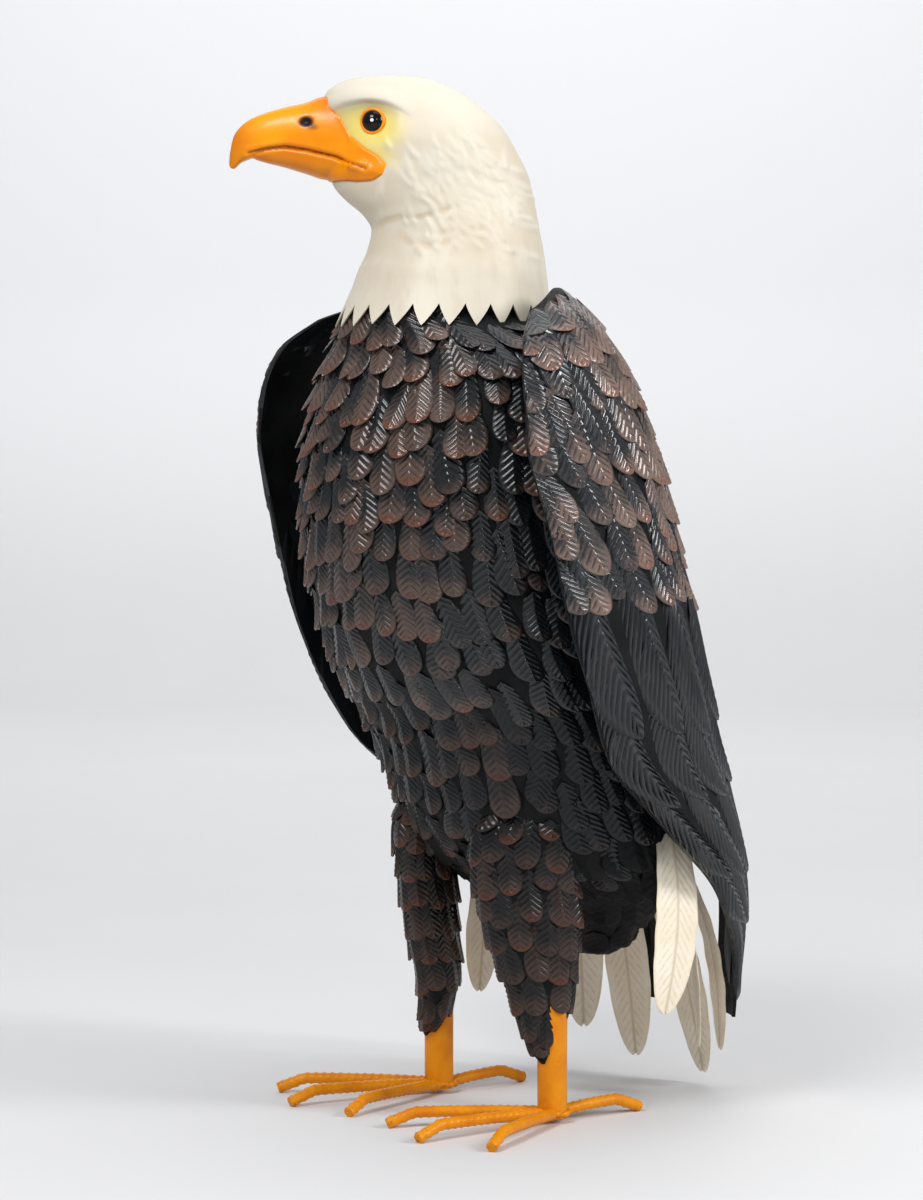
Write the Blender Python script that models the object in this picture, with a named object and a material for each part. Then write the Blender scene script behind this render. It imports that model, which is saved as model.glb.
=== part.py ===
"""A standing metal eagle: cast head, feathered body, folded wings, tube legs and bar toes."""
import bpy
import bmesh
from math import copysign, cos, hypot, pi, radians, sin, tan
from mathutils import Matrix, Vector

MM = 0.001
CLEARANCE = 0.3

# Legs and toes
LEG_SPACING = 167.0
LEG_RADIUS = 12.5
LEG_SIDES = 16
LEG_FOOT_HEIGHT = 4.0
LEG_TOP = 150.0
TOE_RADIUS = 5.0
TOE_SIDES = 6
TOE_LEVEL = 8.7
TOE_ARCH = 3.6
TOE_DROP_ANGLE = 20.0
TOE_BEND_RUN = 26.0
TOE_GROUND_FLAT = 1.0
# Length, angle round the tube where the bar is welded on, angle of the bar; both from the foot's front
TOES = {
    "inner": (127.5, -46.0, -26.7),
    "middle": (131.5, 0.0, 0.0),
    "outer": (127.5, 46.0, 26.7),
    "back": (77.5, 180.0, 173.0),
}
FOOT_SPLAY = 5.4

# Body: height, centre along the depth, half width, half depth
TORSO_SECTIONS = [
    (126, 88, 40, 16),
    (135, 88, 57, 25),
    (150, 85, 74, 38),
    (170, 80, 94, 53),
    (190, 70, 110, 73),
    (214, 55, 122, 95),
    (245, 44, 128, 106),
    (281, 34, 134, 110),
    (328, 19, 140, 117),
    (375, -1, 142, 130),
    (423, -13, 142, 136),
    (483, -22, 142, 141),
    (534, -25, 141, 139),
    (580, -27, 139, 131),
    (620, -32, 134, 111),
    (640, -38, 123, 97),
    (650, -44, 108, 91),
    (657, -50, 86.5, 86.5),
    (676, -51, 80, 80),
    (684, -51, 72, 72),
]
TORSO_BOTTOM, TORSO_TOP = TORSO_SECTIONS[0][0], TORSO_SECTIONS[-1][0]
NECK_LEVELS = (676, 657)
RUMP_LEVELS = (196, 170, 145)
TORSO_ROWS = 11
NECK_LENGTH = 43.0
RUMP_LENGTH = 96.0
FEATHERS_ROUND = 22
FEATHER_LIFT = 3.5
FEATHER_NOTCH_LIFT = 2.1
FEATHER_TIP = 11.0
FEATHER_NOTCH = 7.0

# Thigh: height, sideways and depth from the leg, half length, half thickness
THIGH_SECTIONS = [
    (49, 3, -10, 3, 3),
    (58, -0.5, -9, 10, 9),
    (72, -4, -7, 16, 13),
    (97, -7.5, -6, 25, 16.5),
    (134, -8.5, -11, 34.5, 19),
    (170, -8.5, -16, 41, 20.5),
    (203, -10.5, -19.5, 44, 21.5),
    (233, -9.5, -18, 48, 26),
    (262, -13.5, -7, 46, 30),
    (300, -19.5, 10, 34, 26),
]
THIGH_BOTTOM, THIGH_TOP = THIGH_SECTIONS[0][0], THIGH_SECTIONS[-1][0]
THIGH_TURN = 55.0
THIGH_ROWS = 6
THIGH_ROOT_LENGTH = 32.0
THIGH_CUFF_LENGTH = 19.0
THIGH_FEATHERS_ROUND = 8
THIGH_TIP = 9.0
THIGH_NOTCH = 6.0

# Wing shell: height, half width, centre, half depth, front angle, rear angle
WING_SECTIONS = [
    (64, 88, 182, 40, 32, 62),
    (119, 102, 170, 56, 16, 74),
    (184, 150, 103, 120, 13, 78),
    (245, 178, 45, 164, 2, 80),
    (310, 198, 8, 175, -10.5, 80),
    (372, 213, -15, 175, -13, 80),
    (423, 217, -29, 175, -15, 80),
    (483, 216, -46, 174, -14.5, 80),
    (552, 212, -61, 173, -16, 80),
    (574, 211, -66, 166, -15.5, 80),
    (612, 203, -68, 148, -16, 80),
    (641, 190, -66, 128, -15.5, 80),
    (666, 164, -52, 96, -15, 80),
    (690, 116, -32, 60, -14, 80),
]
# Each row of feather tips, below the wing's peak
WING_ROW_DROPS = [33, 65, 97, 129, 161, 193, 225, 257, 338, 422, 512, 610]
WING_LONG_ROWS = 4
WING_FEATHERS = 8
WING_PLATE = 3.0
WING_SEAT_DEPTH = 60.0
WING_TOP = 688.0
WING_FRONT_FALL = 21.0
WING_REAR_FALL = 38.0
WING_PEAK_SHARE = 0.36
WING_FRONT_CURVE = 2.0
WING_REAR_CURVE = 1.4
WING_ARCH_DEPTH = 148.0
WING_ARCH_SHARE = 0.75
LONG_TIP = 24.0
LONG_NOTCH = 16.0

# Tail blades: root, tip, the way the back faces in degrees from straight behind, outward bow
TAIL_WIDTH = 42.0
TAIL_THICKNESS = 2.0
TAIL_STATIONS = (0.0, 0.22, 0.45, 0.68, 0.84, 0.95, 1.0)
TAIL_ROUNDING = 0.68
TAIL_ROOT_SHARE = 0.5
TAIL_FULL_AT = 0.45
TAIL_TIP_SHARE = 0.06
TAIL_BLADES = {
    "tail_middle": ((8, 142, 238), (16, 212, 10), -6, 10),
    "tail_left_inner": ((48, 136, 240), (42, 210, 34), 18, 17),
    "tail_left_side": ((78, 113, 252), (60, 172, 43), 30, 10),
    "tail_left_front": ((98, 104, 264), (134, 78, 89), 93, 19),
    "tail_right_inner": ((-36, 138, 236), (-50, 188, 18), -28, 10),
    "tail_right_side": ((-72, 122, 246), (-80, 153, 43), -42, 19),
    "tail_right_front": ((-98, 104, 260), (-134, 77, 74), -93, 16),
}

# Head: it looks along its own forward axis, turned to the right of the body
HEAD_TURN = 35.0
NECK_CENTRE = -52.0
# Height, back reach, front reach, half width
HEAD_SECTIONS = [
    (690, -87, 76, 80),
    (704, -85.5, 71, 76),
    (720, -83.5, 64, 70),
    (738, -80, 60, 64),
    (750, -78, 67, 61),
    (762, -75.5, 81, 58.5),
    (772, -73.5, 90, 57.5),
    (783, -70.5, 95, 57),
    (795, -65, 88, 56.5),
    (808, -58, 88, 55.5),
    (818, -52, 90, 53),
    (827, -45, 93, 49.5),
    (835, -36, 97, 46),
    (843, -26, 100, 40.5),
    (851, -14, 97, 33),
    (858, 1, 88, 24),
    (863, 16, 75, 14),
]
HEAD_CROWN = (866, 45)
COLLAR_TEETH = 25
COLLAR_BAND = 15.0
COLLAR_TOOTH = 18.0
COLLAR_TIP_STANDOFF = 4.5
COLLAR_NOTCH_STANDOFF = 7.7
BROW_HEIGHT = 840.0
BROW_START = 26.0
BROW_END = 96.0
BROW_OVERHANG = 6.5
BROW_SAG = 5.0
BROW_RISE = 1.5
BROW_BELOW = 5.0
BROW_ABOVE = 9.0
BROW_FULLNESS = 0.6
SOCKET_DEPTH = 3.0
SOCKET_REACH = 18.0
EYE_FORWARD = 57.0
EYE_RISE = 135.5
EYE_RADIUS = 10.6
EYE_INSET = 7.2
BEAK_SIDES = 10
BEAK_SQUARENESS = 0.8
UPPER_BEAK_MIDDLE = 0.3
UPPER_BEAK_UNDERSIDE = 0.4
LOWER_BEAK_MIDDLE = 0.5
LOWER_BEAK_UNDERSIDE = 1.0
# Forward, top height, bottom height, half width
UPPER_BEAK = [
    (56, 836, 786, 25),
    (74, 842, 790, 27.5),
    (90, 847, 796, 26),
    (102, 846.5, 799, 24),
    (113, 842.5, 802, 21.8),
    (130, 839, 804.5, 18.5),
    (148, 834, 803, 14.8),
    (160, 829, 797, 11.5),
    (168, 823, 793.5, 8.8),
    (174, 815, 788, 5.5),
    (178, 805, 787.5, 2.5),
]
LOWER_BEAK = [
    (56, 797, 782, 24),
    (75, 798, 780, 25),
    (97, 805, 779.5, 21.5),
    (113, 808, 784, 18.5),
    (131, 809, 789.5, 14.8),
    (147, 808, 793.5, 10.8),
    (158, 804, 796.5, 7),
]
GAPE_CENTRE = (64, 789)
GAPE_RADII = (14, 9, 9)
GAPE_SIDE = 36.0


def smooth_table(rows, at):
    """Read every column of a table at one height, along a smooth curve through its rows."""
    rows = sorted(rows)
    at = min(max(at, rows[0][0]), rows[-1][0])
    index = max(i for i in range(len(rows) - 1) if rows[i][0] <= at)
    before, start, end, after = (rows[min(max(index + k, 0), len(rows) - 1)] for k in (-1, 0, 1, 2))
    span = end[0] - start[0]
    share = (at - start[0]) / span
    values = []
    for column in range(1, len(start)):
        slope_in = slope_through(before, start, end, column) * span
        slope_out = slope_through(start, end, after, column) * span
        low, high = start[column], end[column]
        cube = 2 * (low - high) + slope_in + slope_out
        square = 3 * (high - low) - 2 * slope_in - slope_out
        values.append(low + share * (slope_in + share * (square + share * cube)))
    return values


def slope_through(left, middle, right, column):
    """The gentler slope at a table row, so that the curve never overshoots."""
    first = (middle[column] - left[column]) / (middle[0] - left[0]) if middle[0] != left[0] else None
    second = (right[column] - middle[column]) / (right[0] - middle[0]) if right[0] != middle[0] else None
    if first is None or second is None:
        return first if second is None else second
    if first * second <= 0:
        return 0.0
    return 2 * first * second / (first + second)


def clear_scene():
    for item in list(bpy.data.objects):
        bpy.data.objects.remove(item, do_unlink=True)


def make_material(name, colour, roughness, metallic):
    material = bpy.data.materials.new(name)
    material.use_nodes = True
    shader = material.node_tree.nodes["Principled BSDF"]
    shader.inputs["Base Color"].default_value = (*colour, 1.0)
    shader.inputs["Roughness"].default_value = roughness
    shader.inputs["Metallic"].default_value = metallic
    return material


def make_collection(name):
    collection = bpy.data.collections.new(name)
    bpy.context.scene.collection.children.link(collection)
    return collection


def mesh_object(name, points, faces, collection, material=None):
    """A closed mesh object from points in millimetres."""
    mesh = bpy.data.meshes.new(name)
    mesh.from_pydata([Vector(p) * MM for p in points], [], faces)
    work = bmesh.new()
    work.from_mesh(mesh)
    bmesh.ops.triangulate(work, faces=work.faces, quad_method="FIXED")
    bmesh.ops.recalc_face_normals(work, faces=work.faces)
    work.to_mesh(mesh)
    work.free()
    item = bpy.data.objects.new(name, mesh)
    collection.objects.link(item)
    if material:
        mesh.materials.append(material)
    return item


def ring_strip(first, second, count, closed=True):
    """Faces between two rings of points that start at the given indices."""
    steps = count if closed else count - 1
    return [
        (first + i, first + (i + 1) % count, second + (i + 1) % count, second + i)
        for i in range(steps)
    ]


def loft(rings):
    """Points and faces of a closed loft through rings of equal size, with flat ends."""
    count = len(rings[0])
    points = [p for ring in rings for p in ring]
    faces = [tuple(range(count))[::-1]]
    for level in range(len(rings) - 1):
        faces += ring_strip(level * count, (level + 1) * count, count)
    last = (len(rings) - 1) * count
    faces.append(tuple(last + i for i in range(count)))
    return points, faces


def boolean(target, tool, operation):
    modifier = target.modifiers.new(operation.title(), "BOOLEAN")
    modifier.operation = operation
    modifier.object = tool
    modifier.solver = "EXACT"


def as_cutter(item):
    item.hide_render = True
    item.display_type = "WIRE"
    return item


def torso_point(height, angle, lift=0.0):
    """A point on the body's skin; the angle runs from the breast towards the left side."""
    centre, half_width, half_depth = smooth_table(TORSO_SECTIONS, height)
    side, forward = sin(angle), cos(angle)
    normal = Vector((side * half_depth, -forward * half_width)).normalized() * lift
    return (half_width * side + normal.x, centre - half_depth * forward + normal.y, height)


def thigh_point(side, height, angle, lift=0.0):
    across, depth, half_length, half_thickness = smooth_table(THIGH_SECTIONS, height)
    long_reach = (half_length + lift) * cos(angle)
    short_reach = (half_thickness + lift) * sin(angle)
    turn = radians(THIGH_TURN)
    x = LEG_SPACING / 2 + across + long_reach * cos(turn) + short_reach * sin(turn)
    y = depth + long_reach * sin(turn) - short_reach * cos(turn)
    return (side * x, y, height)


def feather_rows(surface, row_heights, count, tip, notch, grow=0.0):
    """Rings for rows of overlapping feathers: each row ends in a raised edge of pointed tips."""
    rings = []
    for row, level in enumerate(row_heights):
        lifted, sunk = [], []
        for step in range(2 * count):
            angle = pi * step / count
            is_tip = (step + row) % 2 == 0
            height = level - tip if is_tip else level + notch
            lift = FEATHER_LIFT if is_tip else FEATHER_NOTCH_LIFT
            lifted.append(surface(height, angle, lift + grow))
            sunk.append(surface(height, angle, 0.0))
        rings += [lifted] if grow else [lifted, sunk]
    return rings


def spread(start, end, count):
    return [start + (end - start) * i / (count - 1) for i in range(count)]


def plain_ring(surface, height, count, lift=0.0, rise=0.0):
    ring = [surface(height, pi * step / count, lift) for step in range(2 * count)]
    return [(x, y, z + rise) for x, y, z in ring]


def torso_rings(grow=0.0):
    """The body's rings from the collar down; grown, they make its envelope, without the steps inward."""
    rings = [plain_ring(torso_point, TORSO_TOP, FEATHERS_ROUND, grow, grow)]
    rings += [plain_ring(torso_point, level, FEATHERS_ROUND, grow) for level in NECK_LEVELS]
    levels = spread(TORSO_TOP - NECK_LENGTH, TORSO_BOTTOM + RUMP_LENGTH, TORSO_ROWS)
    rings += feather_rows(torso_point, levels, FEATHERS_ROUND, FEATHER_TIP, FEATHER_NOTCH, grow)
    rings += [plain_ring(torso_point, level, FEATHERS_ROUND, grow) for level in RUMP_LEVELS]
    rings.append(plain_ring(torso_point, TORSO_BOTTOM, FEATHERS_ROUND, grow, -grow))
    return rings


def build_torso(collection, cutters, material):
    torso = mesh_object("torso", *loft(torso_rings()), collection, material)
    for side, word in ((1, "left"), (-1, "right")):
        boolean(torso, build_thigh(side, word, cutters), "UNION")
    return torso


def build_thigh(side, word, cutters):
    def surface(height, angle, lift):
        return thigh_point(side, height, angle, lift)

    count = THIGH_FEATHERS_ROUND
    levels = spread(THIGH_TOP - THIGH_ROOT_LENGTH, THIGH_BOTTOM + THIGH_CUFF_LENGTH, THIGH_ROWS)
    rings = [plain_ring(surface, THIGH_TOP, count)]
    rings += feather_rows(surface, levels, count, THIGH_TIP, THIGH_NOTCH)
    rings.append(plain_ring(surface, THIGH_BOTTOM, count))
    return as_cutter(mesh_object("thigh_" + word, *loft(rings), cutters))


def build_leg(side, word, collection, cutters, torso, material):
    height = LEG_TOP - LEG_FOOT_HEIGHT
    place = Vector((side * LEG_SPACING / 2, 0, LEG_FOOT_HEIGHT + height / 2)) * MM
    bpy.ops.mesh.primitive_cylinder_add(
        vertices=LEG_SIDES, radius=LEG_RADIUS * MM, depth=height * MM, location=place)
    leg = adopt(bpy.context.object, "leg_" + word, collection, material)
    bpy.ops.mesh.primitive_cylinder_add(
        vertices=LEG_SIDES, radius=(LEG_RADIUS + CLEARANCE) * MM,
        depth=(height + 2 * CLEARANCE) * MM, location=place)
    bore = as_cutter(adopt(bpy.context.object, "bore_" + word, cutters))
    boolean(torso, bore, "DIFFERENCE")
    return leg


def adopt(item, name, collection, material=None):
    """Rename an added object and move it to its own collection."""
    item.name = name
    item.data.name = name
    for owner in list(item.users_collection):
        owner.objects.unlink(item)
    collection.objects.link(item)
    if material:
        item.data.materials.append(material)
    return item


def toe_path(kind):
    """Centre line of a toe bar in the foot's own frame: sideways out, forward, up."""
    length, root_angle, bar_angle = TOES[kind]
    lean = abs(sin(radians(root_angle - bar_angle)))
    root_distance = LEG_RADIUS + CLEARANCE + TOE_RADIUS / cos(pi / TOE_SIDES) * lean
    root = Vector((sin(radians(root_angle)), cos(radians(root_angle)), 0.0)) * root_distance
    heading = Vector((sin(radians(bar_angle)), cos(radians(bar_angle)), 0.0))
    slope = radians(TOE_DROP_ANGLE)
    tip_height = TOE_RADIUS * cos(slope) - TOE_GROUND_FLAT
    bend = length - TOE_BEND_RUN
    half_drop = TOE_BEND_RUN / 2
    stations = [
        (0.0, TOE_LEVEL),
        (bend / 2, TOE_LEVEL + TOE_ARCH * 0.7),
        (bend, TOE_LEVEL + TOE_ARCH),
        (bend + half_drop, tip_height + half_drop * tan(slope)),
        (length, tip_height),
    ]
    return [root + heading * distance + Vector((0.0, 0.0, z)) for distance, z in stations]


def build_toe(side, word, kind, collection, material):
    splay = radians(FOOT_SPLAY)
    path = []
    for local in toe_path(kind):
        x = local.x * cos(splay) + local.y * sin(splay)
        y = -local.y * cos(splay) + local.x * sin(splay)
        path.append(Vector((side * (LEG_SPACING / 2 + x), y, local.z)))
    rings = []
    corner = TOE_RADIUS / cos(pi / TOE_SIDES)
    for index, centre in enumerate(path):
        before, after = path[max(index - 1, 0)], path[min(index + 1, len(path) - 1)]
        along = after - before
        if index == 0:
            along.z = 0.0
        along.normalize()
        sideways = Vector((0, 0, 1)).cross(along).normalized()
        upward = along.cross(sideways)
        ring = []
        for step in range(TOE_SIDES):
            turn = 2 * pi * (step + 0.5) / TOE_SIDES
            ring.append(centre + (sideways * cos(turn) + upward * sin(turn)) * corner)
        rings.append(ring)
    toe = mesh_object("toe_" + word + "_" + kind, *loft(rings), collection, material)
    cut_at_ground(toe)
    return toe


def cut_at_ground(item):
    work = bmesh.new()
    work.from_mesh(item.data)
    result = bmesh.ops.bisect_plane(
        work, geom=work.verts[:] + work.edges[:] + work.faces[:], dist=1e-7,
        plane_co=(0, 0, 0), plane_no=(0, 0, -1), clear_outer=True)
    rim = [g for g in result["geom_cut"] if isinstance(g, bmesh.types.BMEdge)]
    bmesh.ops.holes_fill(work, edges=rim)
    bmesh.ops.recalc_face_normals(work, faces=work.faces)
    work.to_mesh(item.data)
    work.free()


def wing_point(side, share, height, lift=0.0):
    """A point on the wing's skin; the share runs from its front edge to its rear edge."""
    half_width, centre, half_depth, front, rear = smooth_table(WING_SECTIONS, height)
    angle = radians(front + (rear - front) * share)
    outward = Vector((cos(angle) * half_depth, sin(angle) * half_width)).normalized() * lift
    x = half_width * cos(angle) + outward.x
    y = centre + half_depth * sin(angle) + outward.y
    return (side * x, y, height)


def wing_top(share):
    """Height of the wing's top edge: it rises to the shoulder and falls to the back."""
    if share < WING_PEAK_SHARE:
        fall = ((WING_PEAK_SHARE - share) / WING_PEAK_SHARE) ** WING_FRONT_CURVE
        return WING_TOP - fall * WING_FRONT_FALL
    fall = ((share - WING_PEAK_SHARE) / (1 - WING_PEAK_SHARE)) ** WING_REAR_CURVE
    return WING_TOP - fall * WING_REAR_FALL


def wing_level(share, drop):
    """Rows near the top follow its arch, and lower ones run level."""
    follow = max(0.0, 1 - drop / WING_ARCH_DEPTH)
    return WING_TOP - drop + follow * (wing_top(share) - WING_TOP) * WING_ARCH_SHARE


def build_wing(side, word, collection, cutters, torso, material):
    columns = 2 * WING_FEATHERS + 1
    shares = [i / (columns - 1) for i in range(columns)]
    outer = [[wing_point(side, s, wing_top(s), 0.0) for s in shares]]
    inner_heights = [[wing_top(s) for s in shares]]
    rows = len(WING_ROW_DROPS)
    for row, drop in enumerate(WING_ROW_DROPS):
        is_long = row >= rows - WING_LONG_ROWS
        tip, notch = (LONG_TIP, LONG_NOTCH) if is_long else (FEATHER_TIP, FEATHER_NOTCH)
        if row == rows - 1:
            tip, notch = FEATHER_TIP, FEATHER_NOTCH
        lifted, sunk, heights = [], [], []
        for step, share in enumerate(shares):
            is_tip = (step + row) % 2 == 0
            height = wing_level(share, drop) + (-tip if is_tip else notch)
            lift = FEATHER_LIFT if is_tip else FEATHER_NOTCH_LIFT
            lifted.append(wing_point(side, share, height, lift))
            sunk.append(wing_point(side, share, height, 0.0))
            heights.append(height)
        outer += [lifted, sunk]
        inner_heights.append(heights)
    inner = [
        [wing_point(side, s, height, -WING_PLATE) for s, height in zip(shares, heights)]
        for heights in inner_heights
    ]
    wing = mesh_object("wing_" + word, *shell(outer, inner, columns), collection, material)
    seat_inner = [
        [wing_point(side, s, height, -WING_PLATE - CLEARANCE) for s, height in zip(shares, heights)]
        for heights in inner_heights
    ]
    seat_outer = [
        [wing_point(side, s, height, WING_SEAT_DEPTH) for s, height in zip(shares, heights)]
        for heights in inner_heights
    ]
    seat = mesh_object("wing_seat_" + word, *slab(seat_outer, seat_inner, columns), cutters)
    boolean(torso, as_cutter(seat), "DIFFERENCE")
    return wing


def slab(outer, inner, columns):
    """Points and faces of a closed slab between two sheets with the same rows."""
    points = [p for row in outer for p in row] + [p for row in inner for p in row]
    faces, back = [], len(outer) * columns
    for row in range(len(outer) - 1):
        here, below = row * columns, (row + 1) * columns
        faces += ring_strip(here, below, columns, closed=False)
        faces += [f[::-1] for f in ring_strip(back + here, back + below, columns, closed=False)]
        for edge in (0, columns - 1):
            faces.append((here + edge, below + edge, back + below + edge, back + here + edge))
    last = (len(outer) - 1) * columns
    for start in (0, last):
        faces += ring_strip(start, back + start, columns, closed=False)
    return points, faces


def shell(outer, inner, columns):
    """A closed shell: stepped feather rows outside, one plain sheet inside."""
    points = [p for row in outer for p in row] + [p for row in inner for p in row]
    back = len(outer) * columns
    faces = []
    for row in range(len(outer) - 2):
        faces += ring_strip(row * columns, (row + 1) * columns, columns, closed=False)
    for row in range(len(inner) - 1):
        here, below = back + row * columns, back + (row + 1) * columns
        faces += [f[::-1] for f in ring_strip(here, below, columns, closed=False)]
        top = 0 if row == 0 else 2 * row * columns
        lifted = (2 * row + 1) * columns
        for edge in (0, columns - 1):
            side_face = [top + edge, lifted + edge]
            if row < len(inner) - 2:
                side_face.append(lifted + columns + edge)
            side_face += [below + edge, here + edge]
            faces.append(tuple(side_face))
    faces += ring_strip(0, back, columns, closed=False)
    last_outer = (len(outer) - 2) * columns
    faces += ring_strip(last_outer, back + (len(inner) - 1) * columns, columns, closed=False)
    used = sorted({i for f in faces for i in f})
    renumber = {old: new for new, old in enumerate(used)}
    return [points[i] for i in used], [tuple(renumber[i] for i in f) for f in faces]


def tail_half_width(share):
    """Half the blade's width: it widens from the root and ends in a round tip."""
    widened = sin(pi / 2 * min(1.0, share / TAIL_FULL_AT))
    broad = TAIL_WIDTH / 2 * (TAIL_ROOT_SHARE + (1 - TAIL_ROOT_SHARE) * widened)
    if share > TAIL_ROUNDING:
        broad *= (1 - ((share - TAIL_ROUNDING) / (1 - TAIL_ROUNDING)) ** 2) ** 0.5
    return max(broad, TAIL_WIDTH * TAIL_TIP_SHARE)


def tail_rings(root, tip, turn, bow):
    """Rings of a leaf blade with a ridge along its back, bowed outward as it falls."""
    root, tip = Vector(root), Vector(tip)
    along = (tip - root).normalized()
    outward = Vector((sin(radians(turn)), cos(radians(turn)), 0.0))
    across = along.cross(outward).normalized()
    face = across.cross(along).normalized()
    half_sheet = face * TAIL_THICKNESS / 2
    rings = []
    for share in TAIL_STATIONS:
        centre = root.lerp(tip, share) + face * bow * sin(pi * share)
        edge = across * tail_half_width(share)
        rings.append([
            centre - edge - half_sheet,
            centre + edge - half_sheet,
            centre + edge + half_sheet,
            centre + half_sheet * 2,
            centre - edge + half_sheet,
        ])
    return rings


def build_tail(collection, envelope, material):
    for name, (root, tip, turn, bow) in TAIL_BLADES.items():
        blade = mesh_object(name, *loft(tail_rings(root, tip, turn, bow)), collection, material)
        boolean(blade, envelope, "DIFFERENCE")


def head_frame():
    """Rotation and place of the head: its forward axis is turned to the right of the body."""
    place = Matrix.Translation(Vector((0, NECK_CENTRE, 0)) * MM)
    return place @ Matrix.Rotation(-radians(HEAD_TURN), 4, "Z")


def head_ring(row, count):
    """One level slice of the head, with the brow ridge and the eye socket."""
    height, back, front, half_width = row
    centre, half_length = (front + back) / 2, (front - back) / 2
    ring = []
    for step in range(count):
        angle = 2 * pi * step / count
        forward = centre + half_length * cos(angle)
        side = half_width * sin(angle)
        grow = brow_height(forward, height) * BROW_OVERHANG
        grow -= socket_share(forward, height) * SOCKET_DEPTH
        side += grow * sin(angle)
        ring.append((side, -forward, height))
    return ring


def eye_height():
    """The eye's height, measured up from the head's lowest section."""
    return HEAD_SECTIONS[0][0] + EYE_RISE


def eye_side():
    """How far out the eye's centre lies: a set way in from the head's skin beside it."""
    back, front, half_width = smooth_table(HEAD_SECTIONS, eye_height())
    centre, half_length = (front + back) / 2, (front - back) / 2
    return half_width * (1 - ((EYE_FORWARD - centre) / half_length) ** 2) ** 0.5 - EYE_INSET


def brow_height(forward, height):
    """How strongly the brow ridge stands out at a point, from 0 to 1."""
    along = (forward - BROW_START) / (BROW_END - BROW_START)
    if not 0 < along < 1:
        return 0.0
    ridge = BROW_HEIGHT - BROW_SAG * (1 - along) ** 2 + BROW_RISE * along
    drop = (height - ridge) / (BROW_BELOW if height < ridge else BROW_ABOVE)
    return sin(pi * along) ** BROW_FULLNESS * max(0.0, 1 - drop * drop)


def socket_share(forward, height):
    distance = hypot(forward - EYE_FORWARD, height - eye_height()) / SOCKET_REACH
    return max(0.0, 1 - distance * distance)


def build_head(collection, cutters, envelope, material):
    count = COLLAR_TEETH
    points, faces = [], []
    rings = [head_ring(row, count) for row in HEAD_SECTIONS]
    for ring in rings:
        points += ring
    for level in range(len(rings) - 1):
        faces += ring_strip(level * count, (level + 1) * count, count)
    crown = len(points)
    points.append((0, -HEAD_CROWN[1], HEAD_CROWN[0]))
    last = (len(rings) - 1) * count
    faces += [(last + i, last + (i + 1) % count, crown) for i in range(count)]
    hem = len(points)
    notch_height = HEAD_SECTIONS[0][0] - COLLAR_BAND
    tip_height = notch_height - COLLAR_TOOTH
    for tooth in range(count):
        for half, standoff, height in (
                (0.0, COLLAR_NOTCH_STANDOFF, notch_height), (0.5, COLLAR_TIP_STANDOFF, tip_height)):
            angle = 2 * pi * (tooth + half) / count
            radius = smooth_table(TORSO_SECTIONS, height)[1] + standoff
            points.append((radius * sin(angle), -radius * cos(angle), height))
    under = len(points)
    points.append((0, 0, notch_height))
    for tooth in range(count):
        top, next_top = tooth, (tooth + 1) % count
        notch, tip = hem + 2 * tooth, hem + 2 * tooth + 1
        next_notch = hem + (2 * tooth + 2) % (2 * count)
        faces += [(top, notch, tip), (top, tip, next_top), (next_top, tip, next_notch)]
        faces += [(under, tip, notch), (under, next_notch, tip)]
    head = mesh_object("head", points, faces, collection, material)
    head.matrix_world = head_frame()
    upper = beak_half("upper_beak", UPPER_BEAK, UPPER_BEAK_MIDDLE, UPPER_BEAK_UNDERSIDE, cutters)
    lower = beak_half("lower_beak", LOWER_BEAK, LOWER_BEAK_MIDDLE, LOWER_BEAK_UNDERSIDE, cutters)
    for half in (upper, lower):
        boolean(head, half, "UNION")
    for side in (1, -1):
        boolean(head, gape_lobe(side, cutters), "UNION")
    boolean(head, envelope, "DIFFERENCE")
    return head


def beak_half(name, rows, middle_share, underside, cutters):
    """A loft of rounded slices across the beak; a low underside value flattens it below its middle."""
    rings = []
    for forward, top, bottom, half_width in rows:
        middle = bottom + (top - bottom) * middle_share
        ring = []
        for step in range(BEAK_SIDES):
            angle = 2 * pi * (step + 0.5) / BEAK_SIDES
            side = copysign(abs(cos(angle)) ** BEAK_SQUARENESS, cos(angle)) * half_width
            if sin(angle) > 0:
                height = middle + (top - middle) * sin(angle)
            else:
                height = middle - (middle - bottom) * abs(sin(angle)) ** underside
            ring.append((side, -forward, height))
        rings.append(ring)
    item = as_cutter(mesh_object(name, *loft(rings), cutters))
    item.matrix_world = head_frame()
    return item


def ball(name, centre, radii, cutters, segments=8, rings=6, material=None):
    """A stretched ball in the head's frame, its centre given as side, forward and height."""
    bpy.ops.mesh.primitive_uv_sphere_add(segments=segments, ring_count=rings, radius=1.0)
    item = adopt(bpy.context.object, name, cutters, material)
    place = Matrix.Translation(Vector((centre[0], -centre[1], centre[2])) * MM)
    item.data.transform(place @ Matrix.Diagonal(Vector((*radii, 1 / MM)) * MM))
    item.matrix_world = head_frame()
    return item


def gape_lobe(side, cutters):
    forward, height = GAPE_CENTRE
    length, thickness, rise = GAPE_RADII
    name = "gape_left" if side > 0 else "gape_right"
    return as_cutter(ball(name, (side * GAPE_SIDE, forward, height), (thickness, length, rise), cutters))


def build_eyes(collection, cutters, head, material):
    for side, word in ((1, "left"), (-1, "right")):
        place = (side * eye_side(), EYE_FORWARD, eye_height())
        grown = EYE_RADIUS + CLEARANCE
        socket = ball("socket_" + word, place, (grown, grown, grown), cutters, 10, 7)
        boolean(head, as_cutter(socket), "DIFFERENCE")
        ball("eye_" + word, place, (EYE_RADIUS, EYE_RADIUS, EYE_RADIUS), collection, 10, 7, material)


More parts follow.
